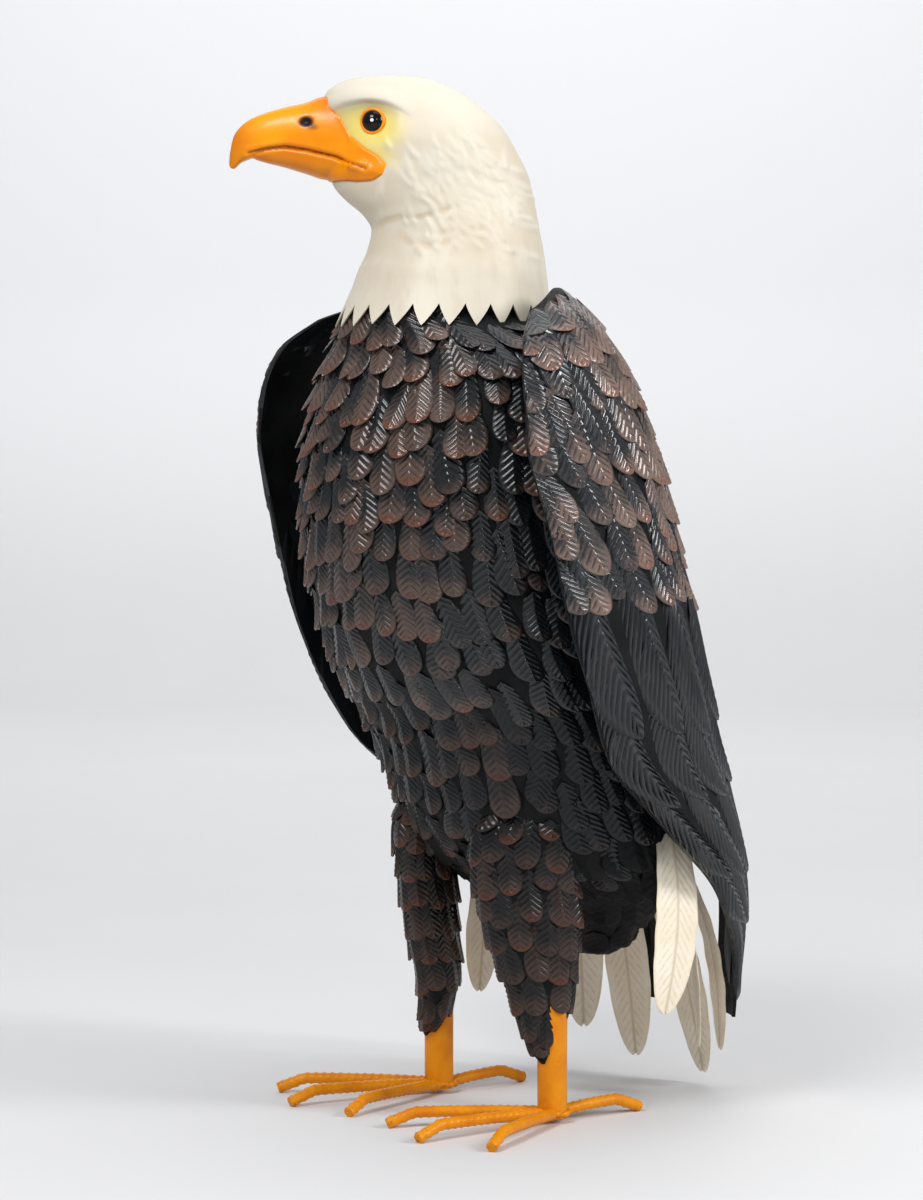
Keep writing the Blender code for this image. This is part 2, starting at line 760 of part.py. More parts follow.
def stand_on_origin(statue, cutters):
    """Move everything so that the origin is the middle of the ground that the statue covers."""
    bpy.context.view_layer.update()
    graph = bpy.context.evaluated_depsgraph_get()
    low, high = Vector((1.0, 1.0, 1.0)), Vector((-1.0, -1.0, -1.0))
    for item in statue.objects:
        final = item.evaluated_get(graph)
        for vertex in final.to_mesh().vertices:
            point = item.matrix_world @ vertex.co
            low = Vector(map(min, low, point))
            high = Vector(map(max, high, point))
        final.to_mesh_clear()
    middle = (low + high) / 2
    shift = Matrix.Translation((-middle.x, -middle.y, -low.z))
    for item in [*statue.objects, *cutters.objects]:
        item.matrix_world = shift @ item.matrix_world


def main():
    clear_scene()
    statue = make_collection("Eagle statue")
    cutters = make_collection("Cutters")
    ivory = make_material("Ivory enamel", (0.85, 0.82, 0.73), 0.4, 0.0)
    dark = make_material("Dark feather enamel", (0.045, 0.04, 0.042), 0.35, 0.3)
    slate = make_material("Slate feather enamel", (0.06, 0.065, 0.075), 0.35, 0.3)
    orange = make_material("Orange enamel", (0.85, 0.38, 0.03), 0.35, 0.1)
    glass = make_material("Black glass", (0.01, 0.01, 0.01), 0.05, 0.0)
    torso = build_torso(statue, cutters, dark)
    envelope = as_cutter(mesh_object("body_envelope", *loft(torso_rings(CLEARANCE)), cutters))
    head = build_head(statue, cutters, envelope, ivory)
    build_eyes(statue, cutters, head, glass)
    for side, word in ((1, "left"), (-1, "right")):
        build_leg(side, word, statue, cutters, torso, orange)
        build_wing(side, word, statue, cutters, torso, slate)
        for kind in TOES:
            build_toe(side, word, kind, statue, orange)
    build_tail(statue, envelope, ivory)
    stand_on_origin(statue, cutters)


main()
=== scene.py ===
"""The visual model of a standing metal eagle statuette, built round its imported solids."""
from math import cos, pi, radians, sin, tan

import bmesh
import bpy
import numpy as np
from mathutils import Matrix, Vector


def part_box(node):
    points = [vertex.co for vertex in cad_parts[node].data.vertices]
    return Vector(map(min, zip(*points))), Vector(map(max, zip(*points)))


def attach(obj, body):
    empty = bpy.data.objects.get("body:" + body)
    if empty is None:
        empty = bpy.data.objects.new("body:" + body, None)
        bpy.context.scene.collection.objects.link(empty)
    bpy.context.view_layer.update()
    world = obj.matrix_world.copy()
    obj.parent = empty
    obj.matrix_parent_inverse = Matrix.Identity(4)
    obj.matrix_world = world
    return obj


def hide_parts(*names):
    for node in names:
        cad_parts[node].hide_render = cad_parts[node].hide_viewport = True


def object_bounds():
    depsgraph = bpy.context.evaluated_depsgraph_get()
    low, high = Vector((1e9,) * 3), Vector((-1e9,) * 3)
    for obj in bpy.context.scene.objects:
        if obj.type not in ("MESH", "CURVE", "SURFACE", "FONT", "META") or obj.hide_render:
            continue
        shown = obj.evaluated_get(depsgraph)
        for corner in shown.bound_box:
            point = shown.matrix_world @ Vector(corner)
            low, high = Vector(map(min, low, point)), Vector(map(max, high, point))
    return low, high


MM = 0.001
SAFE_GAP = 0.00005
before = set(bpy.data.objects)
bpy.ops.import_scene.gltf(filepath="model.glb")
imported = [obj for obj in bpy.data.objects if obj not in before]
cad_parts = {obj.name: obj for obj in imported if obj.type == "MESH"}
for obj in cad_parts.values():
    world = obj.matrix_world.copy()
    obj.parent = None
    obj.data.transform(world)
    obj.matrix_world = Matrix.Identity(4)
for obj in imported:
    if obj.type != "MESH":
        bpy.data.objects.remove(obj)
CAD_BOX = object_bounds()
RANDOM = np.random.default_rng(7)
SIDES = ((1, "left"), (-1, "right"))

# The working frame is in millimetres, with its origin on the ground between the two leg tubes
LEG_LOW, LEG_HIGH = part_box("leg_left")
ANKLE_Y = (LEG_LOW.y + LEG_HIGH.y) / 2
LEG_X = (LEG_LOW.x + LEG_HIGH.x) / 2 / MM
LEG_RADIUS = (LEG_HIGH.x - LEG_LOW.x) / 2 / MM
LEG_TOP = LEG_HIGH.z / MM
LEG_FOOT = LEG_LOW.z / MM

# Camera
CAMERA_AZIMUTH = 55.0
CAMERA_DISTANCE = 3150.0
CAMERA_HEIGHT = 584.0
CAMERA_PITCH = 2.81
CAMERA_YAW = 0.507
FOCAL_PIXELS = 3750.0
PICTURE_HEIGHT = 1200.0
SENSOR = 36.0
VIEW_END = 50.0

# Body: height, centre along the depth, half width, half depth
TORSO_SECTIONS = [
    (126, 88, 40, 16), (135, 88, 57, 25), (150, 85, 74, 38), (170, 80, 94, 53), (190, 70, 110, 73),
    (214, 55, 122, 95), (245, 44, 128, 106), (281, 34, 134, 110), (328, 19, 140, 117),
    (375, -1, 142, 130), (423, -13, 142, 136), (483, -22, 142, 141), (534, -25, 141, 139),
    (580, -27, 139, 131), (620, -32, 132, 111), (640, -38, 116, 98), (652, -43, 101, 92),
    (662, -48, 87, 86.5), (676, -51, 79, 79), (690, -51, 74, 74),
]

# Thigh: height, sideways and depth from the leg, half length, half thickness
THIGH_SECTIONS = [
    (49, 3, -10, 3, 3), (58, -0.5, -9, 10, 9), (72, -4, -7, 16, 13), (97, -7.5, -6, 25, 16.5),
    (134, -8.5, -11, 34.5, 19), (170, -8.5, -16, 41, 20.5), (203, -10.5, -19.5, 44, 21.5),
    (233, -9.5, -18, 48, 26), (262, -13.5, -7, 46, 30), (300, -19.5, 10, 34, 26),
]
THIGH_TURN = 55.0

# Wing shell: height, half width, centre, half depth, front angle, rear angle
WING_SECTIONS = [
    (64, 88, 182, 40, 32, 62), (119, 102, 170, 56, 16, 74), (184, 150, 103, 120, 13, 78),
    (245, 178, 45, 164, 2, 80), (310, 198, 8, 175, -10.5, 80), (372, 213, -15, 175, -13, 80),
    (423, 217, -29, 175, -15, 80), (483, 216, -46, 174, -14.5, 80), (552, 212, -61, 173, -16, 80),
    (574, 211, -66, 166, -15.5, 80), (612, 203, -68, 148, -16, 80), (641, 190, -66, 128, -15.5, 80),
    (666, 164, -52, 96, -15, 80), (690, 116, -32, 60, -14, 80),
]
WING_TOP = 688.0
WING_FRONT_FALL = 21.0
WING_REAR_FALL = 38.0
WING_PEAK_SHARE = 0.36
WING_FRONT_CURVE = 2.0
WING_REAR_CURVE = 1.4
WING_BOTTOM = 68.0
WING_PLATE = 3.0
WING_INSET = 2.4

# Tail blades: root, tip, the way the back faces in degrees from straight behind, outward bow
TAIL_WIDTH = 42.0
TAIL_THICKNESS = 2.0
TAIL_BLADES = {
    "tail_middle": ((8, 142, 238), (16, 212, 10), -6, 10),
    "tail_left_inner": ((48, 136, 240), (42, 210, 34), 18, 17),
    "tail_left_side": ((78, 113, 252), (60, 172, 43), 30, 10),
    "tail_left_front": ((98, 104, 264), (134, 78, 89), 93, 19),
    "tail_right_inner": ((-36, 138, 236), (-50, 188, 18), -28, 10),
    "tail_right_side": ((-72, 122, 246), (-80, 153, 43), -42, 19),
    "tail_right_front": ((-98, 104, 260), (-134, 77, 74), -93, 16),
}

# Head: height, back reach, front reach, half width, on its own axis that is turned to the right
HEAD_TURN = 35.0
NECK_CENTRE = -52.0
HEAD_SECTIONS = [
    (690, -87, 76, 80), (704, -85.5, 71, 76), (720, -83.5, 64, 70), (738, -80, 60, 64),
    (750, -78, 67, 61), (762, -75.5, 81, 58.5), (772, -73.5, 90, 57.5), (783, -70.5, 95, 57),
    (795, -65, 88, 56.5), (808, -58, 88, 55.5), (818, -52, 90, 53), (827, -45, 93, 49.5),
    (835, -36, 97, 46), (843, -26, 100, 40.5), (851, -14, 97, 33), (858, 1, 88, 24),
    (863, 16, 75, 14), (866, 45, 45, 0.5),
]

# Beak halves: place along the head's axis, top, bottom, half width
UPPER_BEAK = [
    (56, 836, 786, 25), (74, 842, 790, 27.5), (90, 847, 796, 26), (102, 846.5, 799, 24),
    (113, 842.5, 802, 21.8), (130, 839, 804.5, 18.5), (148, 834, 803, 14.8), (160, 829, 797, 11.5),
    (168, 823, 793.5, 8.8), (174, 815, 788, 5.5), (178, 805, 787.5, 2.5),
]
LOWER_BEAK = [
    (56, 797, 782, 24), (75, 798, 780, 25), (97, 805, 779.5, 21.5), (113, 808, 784, 18.5),
    (131, 809, 789.5, 14.8), (147, 808, 793.5, 10.8), (158, 804, 796.5, 7),
]

# Eyes: domes tilted to the skin, each in a round ring
EYE_FORWARD = 55.8
EYE_HEIGHT = 824.8
EYE_SIDE = 36.5
EYE_RADIUS = 10.6
EYE_TILT = radians(19)
EYE_SPAN = 0.62 * pi
EYE_ROWS = 28
EYE_COLUMNS = 40
EYE_GLINT_SHIFT = 0.4
EYE_RING_REACH = 9.5
EYE_RING_TUBE = 1.35
EYE_RING_OUT = 4.7
EYE_RING_STEPS = 64
EYE_RING_SIDES = 12

# Paint that plain parts carry: how high the relief is, and three values that the material reads
SHELL_PAINT = (0.1, 0.5, 0.5, 0.5)
INNER_PAINT = (0.0, 0.0, 0.5, 0.5)
# The collar's turned-in hem takes the brow's shadow and the wash at full strength: painted shade inside the
# collar
HEM_SHADE_PAINT = (0.0, 0.0, 1.0, 1.0)
EYE_RING_PAINT = (0.0, 0.0, 0.3, 0.0)
LEG_PAINT = (0.0, 0.3, 0.5, 0.0)
WELD_PAINT = (0.3, 0.0, 0.5, 1.0)


class Table:
    """Rows of numbers over a rising first column, read anywhere along a smooth curve."""

    def __init__(self, rows):
        data = np.array(sorted(rows), float)
        self.at, self.values = data[:, 0], data[:, 1:]
        slope = np.diff(self.values, axis=0) / np.diff(self.at)[:, None]
        before, after = slope[:-1], slope[1:]
        same_way = before * after > 0
        total = np.where(same_way, before + after, 1.0)
        inner = np.where(same_way, 2 * before * after / total, 0.0)
        self.slopes = np.vstack([slope[:1], inner, slope[-1:]])

    def read(self, at):
        at = np.clip(np.asarray(at, float), self.at[0], self.at[-1])
        index = np.clip(np.searchsorted(self.at, at, side="right") - 1, 0, len(self.at) - 2)
        span = (self.at[index + 1] - self.at[index])[..., None]
        share = (at - self.at[index])[..., None] / span
        low, high = self.values[index], self.values[index + 1]
        slope_in, slope_out = self.slopes[index] * span, self.slopes[index + 1] * span
        cube = 2 * (low - high) + slope_in + slope_out
        square = 3 * (high - low) - 2 * slope_in - slope_out
        result = low + share * (slope_in + share * (square + share * cube))
        return np.moveaxis(result, -1, 0)


TORSO = Table(TORSO_SECTIONS)
THIGH = Table(THIGH_SECTIONS)
WING = Table(WING_SECTIONS)
HEAD = Table(HEAD_SECTIONS)


# Helpers
def spread(start, end, count):
    return np.linspace(start, end, count)


def full_turn(count):
    """Angles of evenly spaced points round a circle."""
    return np.arange(count) * 2 * pi / count


def smooth_step(low, high, value):
    share = np.clip((value - low) / (high - low), 0, 1)
    return share * share * (3 - 2 * share)


def bell(value):
    """One at zero, falling off smoothly to both sides."""
    return np.exp(-value ** 2)


def unit(vectors, least=0.0):
    """Vectors scaled to length one; a least length keeps a zero vector from dividing by zero."""
    return vectors / (np.linalg.norm(vectors, axis=-1, keepdims=True) + least)


def points_at(x, y, height):
    """Points from their coordinates, where one height may serve a whole row."""
    return np.stack([x, y, height + 0 * x], -1)


def paint_of(*values):
    """Paint for each point from four values, some of which may be the same for all points."""
    return np.stack(np.broadcast_arrays(*values), -1)


def grid_faces(rows, columns, closed=False):
    """Faces of a grid of points, closed round its rows if asked."""
    steps = columns if closed else columns - 1
    return [
        (r * columns + c, r * columns + (c + 1) % columns,
         (r + 1) * columns + (c + 1) % columns, (r + 1) * columns + c)
        for r in range(rows - 1) for c in range(steps)
    ]


def tube_faces(rows, columns):
    """Faces of a closed tube of rings, with a flat cap at each end."""
    last = (rows - 1) * columns
    caps = [tuple(range(columns))[::-1], tuple(range(last, last + columns))]
    return grid_faces(rows, columns, closed=True) + caps


def loop_faces(rows, columns):
    """Faces of a tube of rings that runs back into itself."""
    last = (rows - 1) * columns
    joint = [(last + c, last + (c + 1) % columns, (c + 1) % columns, c) for c in range(columns)]
    return grid_faces(rows, columns, closed=True) + joint


def plate_faces(rows, columns):
    """Faces of a plate between two grids of points, joined along the rim."""
    back = rows * columns
    faces = grid_faces(rows, columns)
    faces += [tuple(back + i for i in face[::-1]) for face in faces]
    rim = list(range(columns))
    rim += [r * columns + columns - 1 for r in range(1, rows)]
    rim += [(rows - 1) * columns + c for c in range(columns - 2, -1, -1)]
    rim += [r * columns for r in range(rows - 2, 0, -1)]
    return faces + [(here, there, back + there, back + here) for here, there in zip(rim, rim[1:] + rim[:1])]


class Piece:
    """Points, faces and paint of one piece while it is being made."""

    def __init__(self):
        self.points, self.faces, self.paint, self.count = [], [], [], 0

    def add(self, points, faces, paint):
        """Add points and faces, with a paint for each point or one for all of them."""
        points = np.asarray(points, float).reshape(-1, 3)
        paint = np.asarray(paint, float).reshape(-1, 4)
        self.points.append(points)
        self.paint.append(np.broadcast_to(paint, (len(points), 4)))
        self.faces += [tuple(self.count + i for i in face) for face in faces]
        self.count += len(points)

    def add_tube(self, rings, paint):
        """Add a closed tube from its rings of points."""
        self.add(rings, tube_faces(len(rings), len(rings[0])), paint)

    def build(self, name, material, slot, replaces=(), sharp=80.0):
        mesh = bpy.data.meshes.new(name)
        points = np.concatenate(self.points) * MM
        points[:, 1] += ANKLE_Y
        points = np.clip(points, np.array(CAD_BOX[0]) + SAFE_GAP, np.array(CAD_BOX[1]) - SAFE_GAP)
        mesh.from_pydata(points.tolist(), [], self.faces)
        paint = mesh.attributes.new("paint", "FLOAT_COLOR", "POINT")
        paint.data.foreach_set("color", np.concatenate(self.paint).astype(np.float32).ravel())
        work = bmesh.new()
        work.from_mesh(mesh)
        bmesh.ops.recalc_face_normals(work, faces=work.faces)
        work.to_mesh(mesh)
        work.free()
        mesh.shade_smooth()
        mesh.set_sharp_from_angle(angle=radians(sharp))
        mesh.materials.append(material)
        item = bpy.data.objects.new(name, mesh)
        bpy.context.scene.collection.objects.link(item)
        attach(item, "root")
        if replaces:
            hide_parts(*replaces)


# Surfaces: each gives points from a height, a place across and a lift off the skin
def torso_surface(height, angle, lift):
    """The body's skin; the angle runs from the breast towards the left side."""
    centre, half_width, half_depth = TORSO.read(height)
    side, forward = np.sin(angle), np.cos(angle)
    normal = unit(np.stack([side * half_depth, -forward * half_width], -1))
    x = half_width * side + normal[..., 0] * lift
    y = centre - half_depth * forward + normal[..., 1] * lift
    return points_at(x, y, height)


def thigh_surface(side):
    turn = radians(THIGH_TURN)

    def surface(height, angle, lift):
        across, depth, half_length, half_thickness = THIGH.read(height)
        long_reach = (half_length + lift) * np.cos(angle)
        short_reach = (half_thickness + lift) * np.sin(angle)
        x = LEG_X + across + long_reach * cos(turn) + short_reach * sin(turn)
        y = depth + long_reach * sin(turn) - short_reach * cos(turn)
        return points_at(side * x, y, height)

    return surface


def wing_surface(side):
    """One wing's skin; the share runs from its front edge to its rear edge."""
    def surface(height, share, lift):
        lift = lift - WING_INSET
        half_width, centre, half_depth, front, rear = WING.read(height)
        angle = np.radians(front + (rear - front) * share)
        normal = unit(np.stack([np.cos(angle) * half_depth, np.sin(angle) * half_width], -1))
        x = half_width * np.cos(angle) + normal[..., 0] * lift
        y = centre + half_depth * np.sin(angle) + normal[..., 1] * lift
        return points_at(side * x, y, height)

    return surface


def wing_top(share):
    """Height of the wing's top edge: it rises to the shoulder and falls to the back."""
    share = np.asarray(share, float)
    before = np.clip((WING_PEAK_SHARE - share) / WING_PEAK_SHARE, 0, 1) ** WING_FRONT_CURVE
    after = np.clip((share - WING_PEAK_SHARE) / (1 - WING_PEAK_SHARE), 0, 1) ** WING_REAR_CURVE
    return WING_TOP - before * WING_FRONT_FALL - after * WING_REAR_FALL


# Feathers: a leaf is a thin closed plate with a midrib, slanted ribs and a plain rim.
# Each half has points at these shares of its reach, with so much of the rib and of the rim's drop
LEAF_SHARES = np.array([0.14, 0.6, 0.86, 1.0])
LEAF_RIB = np.array([0.8, 1.0, 0.1, 0.0])
LEAF_EDGE = np.array([0.0, 0.0, -0.1, -1.0])
LEAF_SHEET = 0.9
LEAF_MIDRIB = 0.6
LEAF_ROOT_TRIM = 0.8
LEAF_END = 0.985
LEAF_TIP_CURVE = 2.2
LEAF_LEAST_REACH = 0.15
STEPS_PER_RIB = 4
HALVINGS = 24
PROBE = 4.0
FINE_PROBE = 0.01
TONE_SWING = 0.6


def both_halves(values):
    """Values across a whole leaf from those of one half, with zero at the midrib."""
    return np.concatenate([values[::-1], [0.0], values])


def leaf_faces(rows, columns):
    """Faces of a leaf's ribbed top, of its plain underside and of its rim."""
    faces = grid_faces(rows, columns)
    under = rows * columns
    for r in range(rows - 1):
        left, right = r * columns, (r + 1) * columns - 1
        low_left, low_right = under + 2 * r, under + 2 * r + 1
        faces.append((left, left + columns, low_left + 2, low_left))
        faces.append((right, low_right, low_right + 2, right + columns))
        faces.append((low_left, low_left + 2, low_right + 2, low_right))
    last, low_last = (rows - 1) * columns, under + 2 * (rows - 1)
    faces.append(tuple(range(columns)) + (under + 1, under))
    faces.append(tuple(range(last, last + columns))[::-1] + (low_last, low_last + 1))
    return faces


class Leaf:
    """The flat pattern of a stamped feather in millimetres: x across, y from root to tip, z up."""

    def __init__(self, length, width, pitch, slant, rib, camber, rachis=0.0, root=0.7, wide=0.58,
                 roundness=0.5, bow=0.0, skew=0.0, edge=0.6):
        self.length, self.half = length, width / 2
        self.root, self.wide, self.roundness = root, wide, roundness
        first = -slant * self.half * LEAF_ROOT_TRIM
        count = int((length - first) / pitch * STEPS_PER_RIB)
        starts = spread(first, length * LEAF_END, count)
        midrib = rachis * self.half * self.outline(starts)
        halves = []
        for direction in (-1, 1):
            reach = self.margin(starts, midrib, slant, bow, direction)
            x = midrib[:, None] + direction * reach[:, None] * LEAF_SHARES
            distance = np.abs(x - midrib[:, None])
            halves.append((x, starts[:, None] + slant * distance + bow * distance ** 2))
        (left_x, left_y), (right_x, right_y) = halves
        self.x = np.hstack([left_x[:, ::-1], midrib[:, None], right_x])
        self.y = np.hstack([left_y[:, ::-1], starts[:, None], right_y])
        self.rows, self.columns = self.x.shape
        wave = np.cos(np.arange(count) * 2 * pi / STEPS_PER_RIB)[:, None]
        fade = np.clip((length - starts) / (pitch * 1.5), 0, 1)[:, None]
        relief = wave * both_halves(LEAF_RIB) * fade
        share = np.clip(np.abs(self.x) / self.half, 0, 1)
        ridge = np.zeros(self.columns)
        ridge[self.columns // 2] = LEAF_MIDRIB
        self.z = camber * (1 - share ** 2) + relief * rib + ridge + both_halves(LEAF_EDGE) * edge
        self.relief = 0.5 + 0.5 * relief + ridge * 0.4
        self.relief[:, [0, -1]] = 0.2
        self.x = self.x + skew * self.half * (1 - self.outline(self.y))
        self.faces = leaf_faces(self.rows, self.columns)

    def outline(self, y):
        share = np.clip(np.asarray(y) / self.length, 0, 1)
        rising = self.root + (1 - self.root) * np.sin(pi / 2 * np.minimum(share / self.wide, 1))
        falling = np.clip((share - self.wide) / (1 - self.wide), 0, 1)
        return rising * (1 - falling ** LEAF_TIP_CURVE) ** self.roundness

    def margin(self, starts, midrib, slant, bow, direction):
        """How far each rib runs from the midrib before it meets the outline."""
        low, high = np.zeros(len(starts)), np.full(len(starts), 2 * self.half)
        for _ in range(HALVINGS):
            middle = (low + high) / 2
            y = starts + slant * middle + bow * middle ** 2
            room = self.half * self.outline(y) - direction * midrib
            inside = (middle < room) & (y < self.length)
            low, high = np.where(inside, middle, low), np.where(inside, high, middle)
        return np.maximum(low, LEAF_LEAST_REACH)

    def lay(self, piece, surface, height, across, scale=1.0, stretch=1.0, tilt=0.0, root_lift=0.0,
            tip_lift=3.0, twist=0.0, curl=1.6, limit=None, tone=0.5):
        """Lay one copy on a surface with its tip at the given height, bent as the surface is."""
        x = self.x * scale
        y = (self.y - self.length) * scale * stretch
        turned_x = x * cos(tilt) - y * sin(tilt)
        turned_y = x * sin(tilt) + y * cos(tilt)
        rise = np.linalg.norm(surface(height + PROBE, across, 0.0) - surface(height - PROBE, across, 0.0))
        heights = height - turned_y * (2 * PROBE / rise)
        flow = surface(heights, across + FINE_PROBE, 0.0) - surface(heights, across - FINE_PROBE, 0.0)
        places = across + turned_x / (np.linalg.norm(flow, axis=-1) / (2 * FINE_PROBE))
        if limit:
            heights, places = limit(heights, places)
        along = np.clip(self.y / self.length, 0, 1)
        lift = root_lift + (tip_lift - root_lift) * along ** curl
        lift = lift + self.z * scale + twist * turned_x / self.half
        top = surface(heights, places, lift)
        ends = [0, -1]
        under = surface(heights[:, ends], places[:, ends], lift[:, ends] - LEAF_SHEET)
        tint, hue = RANDOM.random(2)
        tint = np.clip(tone + TONE_SWING * (tint - 0.5), 0, 1)
        top_paint = paint_of(self.relief, along, tint, hue).reshape(-1, 4)
        under_paint = np.tile([0.0, 0.5, tint, hue], (2 * self.rows, 1))
        piece.add(np.vstack([top.reshape(-1, 3), under.reshape(-1, 3)]), self.faces,
                  np.vstack([top_paint, under_paint]))


def fitting(leaves, room):
    """The longest leaf that fits in the room above its tip."""
    return next((leaf for leaf in leaves if leaf.length <= room), leaves[-1])


def staggered(row, count):
    """Angles of one row of leaves; every second row is shifted by half a leaf."""
    return [2 * pi * (step + 0.5 * (row % 2)) / count for step in range(count)]


# Body feathers, in rows downwards from the collar
BODY_LEAVES = [Leaf(length, 26.5, 5.4, 0.9, 0.75, 3.0, roundness=0.52, wide=0.6) for length in (38, 30, 22)]
BODY_ROW_TOP = 642.0
BODY_ROW_PITCH = 29.5
BODY_ROWS = 16
BODY_PITCH = 21.0
BODY_TOP = 682.0
BODY_BANDS = ("breast_feathers", "belly_feathers", "loin_feathers")
# The wings hide the body between these two turns from the breast, so no leaf lies there
BODY_SIDE = radians(100)
BODY_BACK = radians(148)
# The leaves darken from one turn or height to the other; towards the sides this is partly painted shade of
# the wings over darker paint
BODY_TURN_SHADE = (radians(38), radians(66))
BODY_HEIGHT_SHADE = (520.0, 350.0)


def body_feathers(materials):
    bands = [Piece() for _ in BODY_BANDS]
    for row in range(BODY_ROWS):
        height = BODY_ROW_TOP - row * BODY_ROW_PITCH
        _, half_width, half_depth = TORSO.read(height)
        for angle in staggered(row, int(pi * (half_width + half_depth) / BODY_PITCH)):
            turn = (angle + pi) % (2 * pi) - pi
            if BODY_SIDE < abs(turn) < BODY_BACK:
                continue
            place = turn + RANDOM.normal(0, 0.03)
            tip = height + RANDOM.normal(0, 6.0)
            # Darker towards the sides, partly painted shade of the wings, and darker lower down
            tone = 0.66 - 0.55 * smooth_step(*BODY_TURN_SHADE, abs(turn))
            tone = tone - 0.22 * smooth_step(*BODY_HEIGHT_SHADE, height)
            fitting(BODY_LEAVES, BODY_TOP - tip).lay(
                bands[row * len(bands) // BODY_ROWS], torso_surface, tip, place,
                scale=RANDOM.uniform(0.86, 1.12), stretch=RANDOM.uniform(0.9, 1.08),
                tilt=RANDOM.normal(0, 0.13) - 0.08 * np.sin(turn), root_lift=-3.0,
                tip_lift=RANDOM.uniform(1.8, 5.2), twist=RANDOM.normal(0, 0.8), tone=tone)
    for band, name, material in zip(bands, BODY_BANDS, materials):
        band.build(name, material, "body_feathers")


RUMP_LEAF = Leaf(40, 30, 10.0, 0.9, 0.6, 3.0, roundness=0.6)
RUMP_ROWS = 4
RUMP_ROW_PITCH = 24.0
RUMP_LOWEST = 130.0
RUMP_PITCH = 22.0


def rump_feathers(material):
    """Blackened leaves welded flat under the belly and round the root of the tail."""
    piece = Piece()
    for row in range(RUMP_ROWS):
        height = RUMP_LOWEST + (RUMP_ROWS - 1 - row) * RUMP_ROW_PITCH
        _, half_width, half_depth = TORSO.read(height)
        for angle in staggered(row, int(pi * (half_width + half_depth) / RUMP_PITCH)):
            RUMP_LEAF.lay(
                piece, torso_surface, height + RANDOM.uniform(-2, 7), angle + RANDOM.normal(0, 0.05),
                scale=RANDOM.uniform(0.8, 1.1), tilt=RANDOM.normal(0, 0.2), root_lift=-2.6,
                tip_lift=RANDOM.uniform(1.0, 5.5), twist=RANDOM.normal(0, 1.5))
    piece.build("rump_feathers", material, "body_feathers")


SKIN_COLUMNS = 72
SKIN_LEVELS = np.concatenate([spread(683, 330, 24), spread(324, 127, 50)])
SKIN_INSET = 1.6
ROUGH_FROM = 300.0
ROUGH_OVER = 60.0
ROUGH_DEPTH = 2.4
THIGH_SKIN_COLUMNS = 28
THIGH_SKIN_LEVELS = spread(299, 50, 36)
THIGH_SKIN_INSET = 0.8


def body_skin(material):
    """The dark shell under the feathers, with its rough underside, and the thighs' skin."""
    piece = Piece()
    angles = full_turn(SKIN_COLUMNS)
    rings = []
    for height in SKIN_LEVELS:
        rough = np.clip((ROUGH_FROM - height) / ROUGH_OVER, 0, 1)
        folds = np.sin(angles * 11 + 2.2 * np.sin(height * 0.09))
        folds = folds * np.sin(height * 0.21 + 3 * np.sin(angles * 5))
        lift = rough * (ROUGH_DEPTH * folds + RANDOM.normal(0, 0.12, SKIN_COLUMNS)) - SKIN_INSET
        rings.append(torso_surface(np.full(SKIN_COLUMNS, height), angles, lift))
    piece.add_tube(rings, SHELL_PAINT)
    turns = full_turn(THIGH_SKIN_COLUMNS)
    for side, _ in SIDES:
        surface = thigh_surface(side)
        levels = [np.full(THIGH_SKIN_COLUMNS, height) for height in THIGH_SKIN_LEVELS]
        piece.add_tube([surface(level, turns, -THIGH_SKIN_INSET) for level in levels], SHELL_PAINT)
    piece.build("body_shell", material, "body_feathers", ("torso",), sharp=60)


THIGH_LEAF = Leaf(37, 24, 5.2, 0.9, 0.65, 2.0, roundness=0.56)
THIGH_ROW_TOP = 240.0
THIGH_ROWS = 8
THIGH_ROW_PITCH = 25.0
THIGH_COUNT = 10
THIGH_NARROW_COUNT = 7
THIGH_OVERLAP = 1.55
THIGH_FIT = (0.62, 1.05)
THIGH_TIP_COUNT = 5
THIGH_TIP_HEIGHT = 52.0


def thigh_feathers(material):
    for side, word in SIDES:
        piece = Piece()
        surface = thigh_surface(side)
        for row in range(THIGH_ROWS):
            height = THIGH_ROW_TOP - row * THIGH_ROW_PITCH
            _, _, half_length, half_thickness = THIGH.read(height)
            count = THIGH_COUNT if row < THIGH_ROWS - 2 else THIGH_NARROW_COUNT
            room = THIGH_OVERLAP * pi * (half_length + half_thickness) / (count * 2 * THIGH_LEAF.half)
            fit = np.clip(room, *THIGH_FIT)
            for angle in staggered(row, count):
                THIGH_LEAF.lay(
                    piece, surface, height + RANDOM.normal(0, 3), angle + RANDOM.normal(0, 0.05),
                    scale=fit * RANDOM.uniform(0.9, 1.08), stretch=1 / fit, tilt=RANDOM.normal(0, 0.08),
                    root_lift=-2.0, tip_lift=RANDOM.uniform(0.5, 2.2))
        for angle in staggered(0, THIGH_TIP_COUNT):
            THIGH_LEAF.lay(
                piece, surface, THIGH_TIP_HEIGHT + RANDOM.uniform(0, 6), angle + 0.4, scale=0.8,
                stretch=1.25, tilt=RANDOM.normal(0, 0.05), root_lift=-1.5,
                tip_lift=RANDOM.uniform(-1.0, 0.8))
        piece.build("thigh_feathers_" + word, material, "body_feathers")


# Wings
COVERT_LEAVES = [Leaf(length, 33, 6.2, 0.95, 0.95, 3.0, roundness=0.55, wide=0.58) for length in (51, 38, 28)]
COVERT_ROWS = 8
COVERT_TOP = 656.0
COVERT_PITCH = 32.0
COVERT_ARCH = 0.75
COVERT_ARCH_RUN = 148.0
COVERT_WIDTH = 28.0
COVERT_WIDEST = 640.0
COVERT_TILT = -0.3
COVERT_ENDS = (0.04, 0.97)
FLIGHT_LEAF = Leaf(190, 42, 11.0, 1.9, 1.5, 2.4, rachis=0.5, root=0.85, wide=0.74, roundness=0.6,
                   bow=0.02, skew=0.45, edge=0.8)
FLIGHT_OVERLAP = 1.32
FLIGHT_FIT = (0.7, 1.05)
FLIGHT_MIDDLE = 70.0
